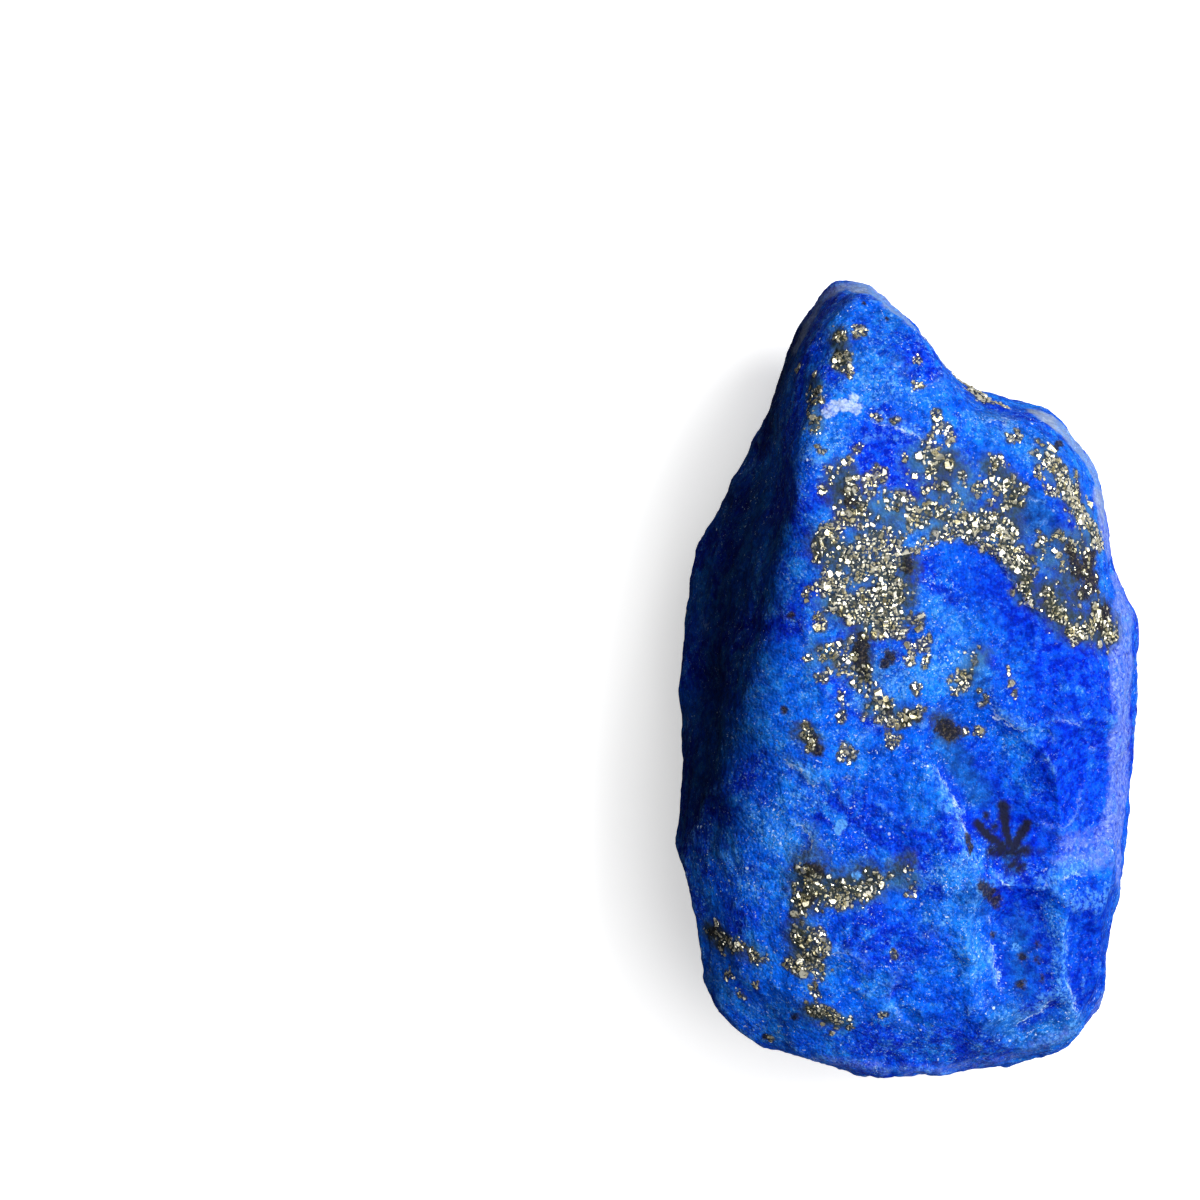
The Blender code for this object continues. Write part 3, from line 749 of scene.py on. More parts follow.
    def scatter(self, kind: Mark, points: Points, normals: Points) -> list[tuple[Points, float]]:
        """Returns the markings of the sides and underside, each as its centre and width."""
        count = {Mark.PYRITE: self.hidden_pyrite, Mark.DARK: self.hidden_dark}.get(kind, 0)
        rng = np.random.default_rng(self.seed + len(kind.value))
        hidden = np.flatnonzero(normals[:, 2] < self.hidden_below)
        picked = points[rng.choice(hidden, count, replace=False)]
        return [(spot, float(rng.uniform(*self.hidden_widths))) for spot in picked]

    def strength(self, kind: Mark, points: Points, normals: Points) -> Points:
        """Works out how strongly a kind of marking shows.

        Args:
            kind: The marking.
            points: The stone's points.
            normals: The way that each one faces.

        Returns:
            For each point, 1 in the middle of a mark, 0.5 at its edge and 0 clear of it.
        """
        total = np.zeros(len(points))
        spots = [(spot, width, 1.0, 1.0) for spot, width in self.scatter(kind, points, normals)]
        for streak in self.layout[kind]:
            for spot in self.anchors(streak, points, normals):
                spots.append((spot, streak.width, streak.strength, self.flatten))
        for spot, width, strength, flatten in spots:
            near = np.flatnonzero(np.abs(points[:, 0] - spot[0]) < 2 * width)
            offset = (points[near] - spot) * (1, 1, flatten)
            distance = np.linalg.norm(offset, axis=1)
            here = strength * smooth_step(1 - distance / (2 * width))
            total[near] = np.maximum(total[near], here)
        return total


@dataclass
class Flakes:
    """Small conchoidal chips, each with one crisp curved edge."""

    count: int = 170
    smallest: float = 0.45
    largest: float = 2.6
    depth: float = 0.085
    riser: float = 0.10
    wear: tuple[float, float] = (0.2, 1.0)
    dull: float = 0.62
    margin: float = 0.2
    wobble: float = 0.12
    clear: float = 1.5
    seed: int = 5

    def chip(self, points: Points, normals: Points, crests: CrestLines) -> Points:
        """Works out how deep the chips cut, and adds the sharpest of their edges to the crests.

        Args:
            points: The stone's points.
            normals: The way that each one faces.
            crests: The worn lines found so far.

        Returns:
            For each point, the depth to take off.
        """
        rng = np.random.default_rng(self.seed)
        total = np.zeros(len(points))
        for centre in rng.choice(len(points), self.count, replace=False):
            radius = self.smallest * (self.largest / self.smallest) ** rng.random()
            facing = normals[centre]
            turn = rng.normal(size=3)
            worn = rng.uniform(*self.wear) - self.dull
            along = np.cross(facing, turn)
            along /= np.linalg.norm(along)
            offset = points - points[centre]
            clear = self.clear if worn > 0 else self.margin * radius
            near = np.flatnonzero(np.abs(offset).max(1) < radius + clear)
            offset = offset[near]
            reach = np.linalg.norm(offset, axis=1)
            wobble = self.wobble * radius * lumps(points[near], 0.5 * radius, float(centre))
            signed = reach - radius - wobble
            inside = smooth_step(-signed / self.riser)
            slope = np.clip(0.5 - offset @ along / (2 * radius), 0, 1)
            total[near] += self.depth * radius**0.6 * inside * slope**1.5
            if worn > 0:
                crests.join(near, -signed, smooth_step(2.6 * slope - 1.5) * worn)
        return total


class Bench:
    """Adds and joins the shader nodes of one tree."""

    def __init__(self, tree: bpy.types.NodeTree) -> None:
        """Starts work on a tree."""
        self.tree = tree
        self.colour: Value = (0.0, 0.0, 0.0)

    def add(self, kind: str, settings: dict | None = None, **inputs: Value) -> bpy.types.Node:
        """Adds a node.

        Args:
            kind: The node's type, without its ShaderNode prefix.
            settings: The node's own properties.
            **inputs: A value or a socket for each input, by name, with _ for a space.

        Returns:
            The new node.
        """
        node = self.tree.nodes.new(kind if kind.startswith("NodeGroup") else f"ShaderNode{kind}")
        for name, value in (settings or {}).items():
            setattr(node, name, value)
        self.give(node, **inputs)
        return node

    def give(self, node: bpy.types.Node, **inputs: Value) -> None:
        """Sets a node's inputs, by name, with _ for a space."""
        for name, value in inputs.items():
            self.feed(node.inputs[name.replace("_", " ")], value)

    def feed(self, socket: Socket, value: Value) -> None:
        """Sets an input to a value, or joins a socket to it."""
        if isinstance(value, Socket):
            self.tree.links.new(value, socket)
        elif isinstance(value, tuple) and len(value) == 3 and socket.type == "RGBA":
            socket.default_value = (*value, 1)
        else:
            socket.default_value = value

    def math(self, operation: str, a: Value, b: Value = 0.0, c: Value = 0.0) -> Socket:
        """Returns a sum of up to three numbers or sockets."""
        node = self.add("Math", {"operation": operation})
        for socket, value in zip(node.inputs, (a, b, c)):
            self.feed(socket, value)
        return node.outputs[0]

    def times(self, a: Value, b: Value) -> Socket:
        """Returns a times b."""
        return self.math("MULTIPLY", a, b)

    def scaled(self, a: Value, b: Value, c: Value) -> Socket:
        """Returns a times b, plus c."""
        return self.math("MULTIPLY_ADD", a, b, c)

    def lay(self, tone: Value, share: Value, strength: Value | None = None) -> None:
        """Lays a tone over the colour so far, by a share, and a strength where it has one."""
        if strength is not None:
            share = self.times(share, strength)
        self.colour = self.mix(share, self.colour, tone)

    def shade(self, light: Value) -> None:
        """Multiplies the colour so far by a lightness."""
        grey = self.add("CombineColor", Red=light, Green=light, Blue=light).outputs[0]
        self.colour = self.mix(1.0, self.colour, grey, "MULTIPLY")

    def pick(self, cells: bpy.types.Node, channel: int) -> Socket:
        """Returns each cell's own number, one of three."""
        return self.add("SeparateColor", Color=cells.outputs["Color"]).outputs[channel]

    def ramp(self, value: Value, low: Value, high: Value, start=0.0, stop=1.0) -> Socket:
        """Returns a soft change from start to stop as value goes from low to high."""
        node = self.add("MapRange", {"interpolation_type": "SMOOTHSTEP"})
        for socket, number in zip(node.inputs, (value, low, high, start, stop)):
            self.feed(socket, number)
        return node.outputs[0]

    def mix(self, share: Value, a: Value, b: Value, blend: str = "MIX") -> Socket:
        """Returns colour a with a share of colour b over it."""
        node = self.add("Mix", {"data_type": "RGBA", "blend_type": blend})
        self.feed(node.inputs["Factor"], share)
        self.feed(node.inputs[6], a)
        self.feed(node.inputs[7], b)
        return node.outputs[2]

    def noise(self, size: float, detail: float, rough: float, twist: float = 0.0) -> Socket:
        """Returns noise with lumps of a size in millimetres."""
        inputs = {"Vector": self.place, "Scale": 1 / size, "Detail": detail, "Distortion": twist}
        return self.add("TexNoise", Roughness=rough, **inputs).outputs[0]

    def specks(self, size: float) -> bpy.types.Node:
        """Returns a cell pattern with cells of a size in millimetres."""
        return self.add("TexVoronoi", Vector=self.place, Scale=1 / size, Randomness=1.0)

    def attribute(self, name: str) -> Socket:
        """Returns one of the mesh's own values."""
        return self.add("Attribute", {"attribute_name": name}).outputs["Fac"]

    @cached_property
    def place(self) -> Socket:
        """The place on the object, in millimetres."""
        place = self.add("TexCoord").outputs["Object"]
        node = self.add("VectorMath", {"operation": "SCALE"}, Scale=1 / MM)
        self.feed(node.inputs[0], place)
        return node.outputs[0]


class SharedEffect:
    """A node group that is built once, and then placed in each material with its own values."""

    name = ""
    inputs: dict[str, str] = {}
    outputs: tuple[str, ...] = ()

    def fill(self, bench: Bench, given: bpy.types.bpy_prop_collection) -> tuple[Socket, ...]:
        """Adds the group's own nodes, and returns one socket for each output."""
        raise NotImplementedError

    def tree(self) -> bpy.types.NodeTree:
        """Returns the group, building it the first time."""
        if self.name in bpy.data.node_groups:
            return bpy.data.node_groups[self.name]
        tree = bpy.data.node_groups.new(self.name, "ShaderNodeTree")
        for name, kind in self.inputs.items():
            tree.interface.new_socket(name, in_out="INPUT", socket_type=f"NodeSocket{kind}")
        for name in self.outputs:
            tree.interface.new_socket(name, in_out="OUTPUT", socket_type="NodeSocketFloat")
        bench = Bench(tree)
        results = self.fill(bench, bench.add("NodeGroupInput").outputs)
        out = bench.add("NodeGroupOutput")
        for socket, result in zip(out.inputs, results):
            bench.feed(socket, result)
        return tree

    def place(self, bench: Bench, *values: Value) -> bpy.types.Node:
        """Returns the group's node in a material, with a value for each input."""
        node = bench.tree.nodes.new("ShaderNodeGroup")
        node.node_tree = self.tree()
        for socket, value in zip(node.inputs, values):
            bench.feed(socket, value)
        return node


class BrokenEdge(SharedEffect):
    """Turns a soft marking into a mask with a broken, natural edge."""

    name = "Broken Edge"
    inputs = {
        "Marking": "Float",
        "Place": "Vector",
        "Size": "Float",
        "Breakup": "Float",
        "Softness": "Float",
    }
    outputs = ("Mask",)

    def fill(self, bench: Bench, given: bpy.types.bpy_prop_collection) -> tuple[Socket, ...]:
        """Moves the marking by noise, and cuts it off softly."""
        scale = bench.math("DIVIDE", 1.0, given["Size"])
        grain = bench.add("TexNoise", Vector=given["Place"], Scale=scale, Detail=3.0, Roughness=0.65)
        signed = bench.math("SUBTRACT", grain.outputs[0], 0.5)
        moved = bench.scaled(signed, given["Breakup"], given["Marking"])
        low = bench.math("SUBTRACT", 0.5, given["Softness"])
        high = bench.math("ADD", 0.5, given["Softness"])
        return (bench.ramp(moved, low, high),)

    def mask(self, bench: Bench, marking: Socket, *edge: float) -> Socket:
        """Returns the mask of a marking in a material.

        Args:
            bench: The material's bench.
            marking: The soft marking, 0.5 at its edge.
            *edge: How wide the breaks in its edge are, how far they reach, and how soft it is.

        Returns:
            The mask's socket.
        """
        return self.place(bench, marking, bench.place, *edge).outputs["Mask"]


class SugaryGrain(SharedEffect):
    """The fine grain that both the rock and the crystals' faces have."""

    name = "Sugary Grain"
    inputs = {"Place": "Vector", "Size": "Float"}
    outputs = ("Light", "Height")

    def fill(self, bench: Bench, given: bpy.types.bpy_prop_collection) -> tuple[Socket, ...]:
        """Mixes cells with fine noise, for the lightness and for the height."""
        scale = bench.math("DIVIDE", 1.0, given["Size"])
        cells = bench.add("TexVoronoi", Vector=given["Place"], Scale=scale, Randomness=1.0)
        fine = bench.add("TexNoise", Vector=given["Place"], Scale=scale, Detail=3.0, Roughness=0.7)
        light = bench.scaled(bench.pick(cells, 0), 0.5, bench.times(fine.outputs[0], 0.5))
        return light, bench.math("SUBTRACT", fine.outputs[0], cells.outputs["Distance"])


# Each marking's edge: how wide its breaks are, how far they reach, and how soft it is
EDGES: dict[Mark, tuple[float, float, float]] = {
    Mark.AZURE: (0.7, 1.1, 0.35),
    Mark.TEAL: (0.8, 0.9, 0.35),
    Mark.PALE: (0.5, 0.35, 0.16),
    Mark.BRUISE: (0.35, 1.2, 0.40),
    Mark.ZONE: (0.55, 1.0, 0.40),
    Mark.SMOKE: (0.5, 0.9, 0.40),
    Mark.CALCITE: (0.30, 0.9, 0.12),
    Mark.DENDRITE: (0.30, 0.8, 0.36),
    Mark.DARK: (0.36, 1.3, 0.24),
}


@dataclass(frozen=True)
class LapisFinish:
    """The rock: ultramarine with paler worn edges, painted sheen and shade, slate zones, dark spots and a
    dull matrix.
    """

    deep: Colour = (0.0002, 0.018, 0.580)
    body: Colour = (0.0004, 0.090, 0.740)
    azure: Colour = (0.008, 0.190, 0.760)
    frost: Colour = (0.110, 0.370, 0.900)
    crumb: Colour = (0.190, 0.460, 0.950)
    lilac: Colour = (0.050, 0.130, 0.850)
    # pale, and chalk below it, tint the paler rims: worn frosting with a painted sheen
    pale: Colour = (0.135, 0.228, 0.810)
    teal: Colour = (0.008, 0.092, 0.350)
    slate: Colour = (0.040, 0.082, 0.140)
    steel: Colour = (0.045, 0.140, 0.290)
    chalk: Colour = (0.330, 0.410, 0.530)
    smoke: Colour = (0.034, 0.050, 0.060)
    calcite: Colour = (0.480, 0.600, 0.900)
    dark: Colour = (0.013, 0.012, 0.014)
    brown: Colour = (0.085, 0.068, 0.046)
    stroke: Colour = (0.013, 0.014, 0.026)
    # matrix: the dull matrix's colour, also used for the painted shadow round each crystal
    matrix: Colour = (0.016, 0.019, 0.014)
    olive: Colour = (0.075, 0.080, 0.052)
    gold: Colour = (0.850, 0.800, 0.580)
    fleck: Colour = (0.640, 0.780, 1.000)
    roughness: float = 0.56
    uneven: float = 0.22
    glint_roughness: float = 0.3
    specular: float = 0.015
    grain: float = 0.20
    bump: float = 0.07

    def material(self) -> bpy.types.Material:
        """Returns the finished material."""
        material, bench, shader = new_material("lapis")
        sugar = SugaryGrain().place(bench, bench.place, self.grain)
        self.rock(bench, sugar)
        for layer in (self.worn, self.crests, self.flecks, self.spots):
            layer(bench)
        glint = self.metal(bench)
        rough = bench.scaled(sugar.outputs["Light"], self.uneven, self.roughness - self.uneven / 2)
        rough = bench.mix(glint, rough, (self.glint_roughness,) * 3)
        height = bench.scaled(bench.noise(0.09, 2.0, 0.6), 0.4, sugar.outputs["Height"])
        bump = bench.add("Bump", Height=height, Strength=0.8, Distance=self.bump * MM)
        bench.give(shader, Base_Color=bench.colour, Roughness=rough, Metallic=glint)
        bench.give(shader, Specular_IOR_Level=self.specular, Normal=bump.outputs[0])
        return material

    def rock(self, bench: Bench, sugar: bpy.types.Node) -> None:
        """Lays the blue of the rock, cloudy, then mottled ever more finely, and last the painted shade.

        Args:
            bench: The material's bench.
            sugar: The grain's node.
        """
        cloud = bench.noise(5.0, 3.0, 0.6, 0.4)
        bench.colour = bench.mix(bench.ramp(cloud, 0.38, 0.60), self.deep, self.body)
        patch = bench.noise(2.2, 3.0, 0.62, 0.3)
        azure = self.mask(bench, Mark.AZURE)
        cloudy = bench.scaled(azure, 0.55, bench.ramp(patch, 0.42, 0.68))
        deep = bench.attribute(Mark.DEEP.value)
        cloudy = bench.scaled(deep, -0.9, cloudy)
        cloudy = bench.ramp(cloudy, 0.0, 1.2)
        quiet = bench.scaled(deep, -0.85, 1.0)
        bench.lay(self.deep, deep, 0.90)
        bench.lay(self.azure, cloudy, 0.42)
        bench.lay(self.teal, self.mask(bench, Mark.TEAL), 0.75)
        mottle = bench.noise(0.55, 4.0, 0.7, 0.2)
        share = bench.scaled(cloudy, 0.60, 0.26)
        share = bench.times(bench.ramp(mottle, 0.42, 0.62), share)
        bench.lay(self.azure, share)
        grain = bench.ramp(sugar.outputs["Light"], 0.2, 0.75, 0.80, 1.18)
        bench.shade(bench.times(bench.ramp(mottle, 0.34, 0.56, 0.72, 1.14), grain))
        crumbs = bench.ramp(bench.noise(0.24, 4.0, 0.75), 0.50, 0.74)
        share = bench.times(bench.scaled(cloudy, 0.62, 0.05), quiet)
        bench.lay(self.frost, crumbs, share)
        cloud = bench.scaled(azure, 0.10, bench.noise(1.1, 4.0, 0.70))
        cloud = bench.times(bench.ramp(cloud, 0.44, 0.60, 0.12, 0.85), quiet)
        crumbs = bench.ramp(bench.noise(0.17, 3.0, 0.7, 0.4), 0.55, 0.65)
        bench.lay(self.crumb, crumbs, cloud)
        lilac = bench.ramp(bench.noise(0.30, 2.0, 0.7), 0.56, 0.72, 0.0, 0.16)
        bench.lay(self.lilac, lilac, quiet)
        # Painted shade: darkens the rock where the painted shade marking lies, most of all on the left
        # flank
        bench.shade(bench.scaled(bench.attribute(Mark.DUSK.value), -0.80, 1.0))

    def worn(self, bench: Bench) -> None:
        """Lays the paler rims, worn and with a painted sheen, the bruised places and the worn edges.

        Args:
            bench: The material's bench, with the colour so far.
        """
        fine = bench.noise(0.26, 4.0, 0.72)
        speck = bench.noise(0.45, 3.0, 0.65)
        crumbs = bench.ramp(fine, 0.42, 0.62)
        calm, quiet = self.quiet(bench)
        across = bench.add("SeparateXYZ", Vector=bench.place).outputs
        # Paler rims, stronger higher up and chalkier towards the tip: worn frosting with a painted sheen
        pale = self.mask(bench, Mark.PALE)
        pale = bench.times(pale, bench.ramp(across["Z"], 6.0, 12.5, 0.12, 1.0))
        tone = bench.ramp(bench.noise(0.42, 5.0, 0.75), 0.38, 0.60, 0.12, 1.0)
        chalky = bench.ramp(across["Y"], 6.0, 12.0, 0.0, 0.95)
        tone = bench.math("MAXIMUM", tone, bench.times(chalky, 0.80))
        bench.lay(bench.mix(chalky, self.pale, self.chalk), pale, tone)
        grit = bench.times(pale, bench.ramp(fine, 0.50, 0.62, 0.0, 0.30))
        bench.lay(self.fleck, grit)
        crushed = self.mask(bench, Mark.BRUISE)
        bench.lay(self.azure, crushed, 0.30)
        crushed = bench.times(crushed, bench.ramp(fine, 0.50, 0.62, 0.0, 0.85))
        bench.lay(self.frost, crushed)
        wear = bench.scaled(speck, 0.9, bench.attribute("ridge"))
        wear = bench.times(bench.ramp(wear, 0.80, 1.40, 0.0, 0.60), crumbs)
        bench.lay(self.frost, wear, calm)
        bruise = bench.ramp(bench.noise(1.4, 4.0, 0.70, 0.5), 0.64, 0.70, 0.0, 0.6)
        bruise = bench.times(bench.times(bruise, crumbs), quiet)
        bench.lay(self.frost, bruise)

    def crests(self, bench: Bench) -> None:
        """Lays the crest lines: pale above, white on the line, and a painted shade below, at the foot of
        the step.

        Args:
            bench: The material's bench, with the colour so far.
        """
        fine = bench.noise(0.26, 4.0, 0.72)
        shaken = bench.scaled(bench.noise(0.7, 4.0, 0.70), 1.40, -0.70)
        shaken = bench.scaled(fine, 0.44, bench.math("SUBTRACT", shaken, 0.22))
        line = bench.math("ADD", bench.attribute("crest"), shaken)
        worn = bench.attribute("crest_wear")
        # Painted shade: deep blue laid just below each crest line, at the foot of its step
        below = bench.ramp(line, 0.2, 0.9, 0.55, 0.0)
        below = bench.times(bench.ramp(line, 0.02, 0.14), below)
        bench.lay(self.deep, below, worn)
        above = bench.ramp(line, 0.0, 0.10, 1.0, 0.0)
        above = bench.times(bench.ramp(line, -0.8, -0.02), above)
        above = bench.times(above, bench.ramp(fine, 0.36, 0.62, 0.12, 0.70))
        bench.lay(self.frost, above, worn)
        away = bench.math("ABSOLUTE", line)
        crumbs = bench.times(bench.ramp(away, 0.05, 0.34, 1.0, 0.0), bench.ramp(fine, 0.54, 0.62))
        bench.lay(self.crumb, crumbs, worn)
        width = bench.ramp(bench.noise(0.55, 4.0, 0.70), 0.42, 0.62, 0.035, 0.150)
        broken = bench.ramp(bench.noise(1.0, 3.0, 0.65), 0.42, 0.54, 0.10, 0.90)
        thin = bench.times(bench.ramp(away, 0.0, width, 1.0, 0.0), broken)
        bench.lay(self.fleck, thin, worn)

    def flecks(self, bench: Bench) -> None:
        """Lays tiny white flecks, gathered in patches: pale crumbs, and painted sparkle in place of
        glints.

        Args:
            bench: The material's bench, with the colour so far.
        """
        quiet = self.quiet(bench)[1]
        patch = bench.noise(1.3, 3.0, 0.65)
        gathered = bench.scaled(bench.attribute(Mark.BRUISE.value), 0.14, patch)
        patch = bench.ramp(gathered, 0.46, 0.62, 0.05, 1.0)
        patch = bench.times(patch, quiet)
        # Painted sparkle: tiny white points that stand in for glints, as do the cell flecks below
        painted_sparkle = bench.ramp(bench.noise(0.14, 1.0, 0.5, 0.8), 0.67, 0.74)
        bench.lay(self.fleck, painted_sparkle, patch)
        cells = bench.specks(0.62)
        near = bench.ramp(bench.pick(cells, 2), 0.80, 1.0, 0.0, 0.19)
        near = bench.math("SUBTRACT", near, cells.outputs["Distance"])
        near = bench.times(bench.ramp(near, 0.0, 0.06), patch)
        bench.lay(self.fleck, near)

    def spots(self, bench: Bench) -> None:
        """Lays the slate zones, smoky patches, calcite, strokes and dark spots.

        Args:
            bench: The material's bench, with the colour so far.
        """
        zone = self.mask(bench, Mark.ZONE)
        tone = bench.noise(0.45, 4.0, 0.7)
        share = bench.ramp(tone, 0.34, 0.66, 0.95, 0.62)
        haze = bench.ramp(bench.noise(1.1, 3.0, 0.65), 0.42, 0.58)
        haze = bench.mix(haze, self.slate, self.steel)
        bench.lay(haze, zone, share)
        smoke = self.mask(bench, Mark.SMOKE)
        share = bench.ramp(tone, 0.38, 0.66, 0.95, 0.45)
        bench.lay(self.smoke, smoke, share)
        calcite = self.mask(bench, Mark.CALCITE)
        tone = bench.ramp(bench.noise(0.3, 3.0, 0.7), 0.36, 0.60, 0.35, 0.95)
        across = bench.add("SeparateXYZ", Vector=bench.place).outputs["Y"]
        white = bench.mix(bench.ramp(across, 5.0, 9.0), self.frost, self.calcite)
        bench.lay(white, calcite, tone)
        bench.lay(self.stroke, self.mask(bench, Mark.DENDRITE), 0.97)
        tone = bench.ramp(bench.noise(0.16, 3.0, 0.75), 0.48, 0.66)
        tone = bench.mix(tone, self.dark, self.brown)
        bench.lay(tone, self.mask(bench, Mark.DARK), 0.92)

    def metal(self, bench: Bench) -> Socket:
        """Lays the dull matrix between the crystals, darkest as a painted shadow round each one, with its
        own tiny glints.

        Args:
            bench: The material's bench, with the colour so far.

        Returns:
            The mask of the glints.
        """
        rich = bench.times(bench.attribute(Mark.PYRITE.value), 0.22)
        # Painted shadow: the dark matrix is laid close round each crystal as well as in the rich rock
        rich = bench.math("ADD", rich, bench.times(bench.attribute("matrix_and_shadow_rim"), 0.76))
        matrix = BrokenEdge().mask(bench, rich, 0.20, 0.7, 0.20)
        tone = bench.ramp(bench.noise(0.30, 4.0, 0.7), 0.38, 0.66)
        tone = bench.mix(tone, self.matrix, self.olive)
        bench.lay(tone, matrix, 0.88)
        cells = bench.specks(0.12)
        glint = bench.math("GREATER_THAN", bench.pick(cells, 1), 0.92)
        near = bench.math("LESS_THAN", cells.outputs["Distance"], 0.42)
        dark = self.mask(bench, Mark.DARK)
        zone = bench.ramp(bench.attribute(Mark.ZONE.value), 0.15, 0.35)
        grainy = bench.math("MAXIMUM", matrix, bench.times(dark, zone))
        glint = bench.times(bench.times(glint, near), grainy)
        glint = bench.math("GREATER_THAN", glint, 0.5)
        bench.lay(self.gold, glint)
        return glint

    def mask(self, bench: Bench, mark: Mark) -> Socket:
        """Returns the mask of one kind of marking, with its own broken edge."""
        return BrokenEdge().mask(bench, bench.attribute(mark.value), *EDGES[mark])

    def quiet(self, bench: Bench) -> tuple[Socket, Socket]:
        """Returns how busy the rock may be: in the smooth places, and in the deep ones too."""
        calm = bench.scaled(bench.attribute(Mark.SMOOTH.value), -0.85, 1.0)
        quiet = bench.scaled(bench.attribute(Mark.DEEP.value), -0.75, calm)
        return calm, bench.math("MAXIMUM", quiet, 0.0)


@dataclass(frozen=True)
class PyriteFinish:
    """Pale brassy metal, a little tarnished."""

    bright: Colour = (1.00, 0.97, 0.82)
    brass: Colour = (0.78, 0.70, 0.42)
    tarnish: Colour = (0.10, 0.09, 0.055)
    roughness: float = 0.32
    metallic: float = 0.84
    grain: float = 0.10
    bump: float = 0.012

    def material(self) -> bpy.types.Material:
        """Returns the finished material."""
        material, bench, shader = new_material("pyrite")
        pick = bench.pick(bench.specks(0.33), 0)
        bench.colour = bench.mix(bench.ramp(pick, 0.1, 0.6), self.brass, self.bright)
        patch = bench.times(bench.noise(0.6, 3.0, 0.7), 0.84)
        tarnish = BrokenEdge().mask(bench, patch, 0.15, 0.7, 0.08)
        bench.lay(self.tarnish, tarnish, 0.85)
        sugar = SugaryGrain().place(bench, bench.place, self.grain)
        rough = bench.scaled(sugar.outputs["Light"], 0.25, self.roughness - 0.1)
        distance = self.bump * MM
        bump = bench.add("Bump", Height=sugar.outputs["Height"], Strength=0.4, Distance=distance)
        bench.give(shader, Base_Color=bench.colour, Roughness=rough, Metallic=self.metallic)
        bench.give(shader, Normal=bump.outputs[0])
        return material


def new_material(name: str) -> tuple[bpy.types.Material, Bench, bpy.types.Node]:
    """Returns a new material, the bench for its nodes, and its surface node."""
    material = bpy.data.materials.new(name)
    material.use_nodes = True
    return material, Bench(material.node_tree), material.node_tree.nodes["Principled BSDF"]


def new_mesh(name: str, work: bmesh.types.BMesh) -> bpy.types.Mesh:
    """Returns a new mesh with the finished work's shape."""
    data = bpy.data.meshes.new(name)
    work.to_mesh(data)
    work.free()
    return data


def new_object(name: str, data: bpy.types.Mesh) -> bpy.types.Object:
    """Returns a new object for a mesh, placed in the scene."""
    item = bpy.data.objects.new(name, data)
    bpy.context.scene.collection.objects.link(item)
    return item


def read_vectors(rows, prop: str) -> Points:
    """Returns a mesh's coordinates or normals as rows of three."""
    values = np.empty(len(rows) * 3)
    rows.foreach_get(prop, values)
    return values.reshape(-1, 3)


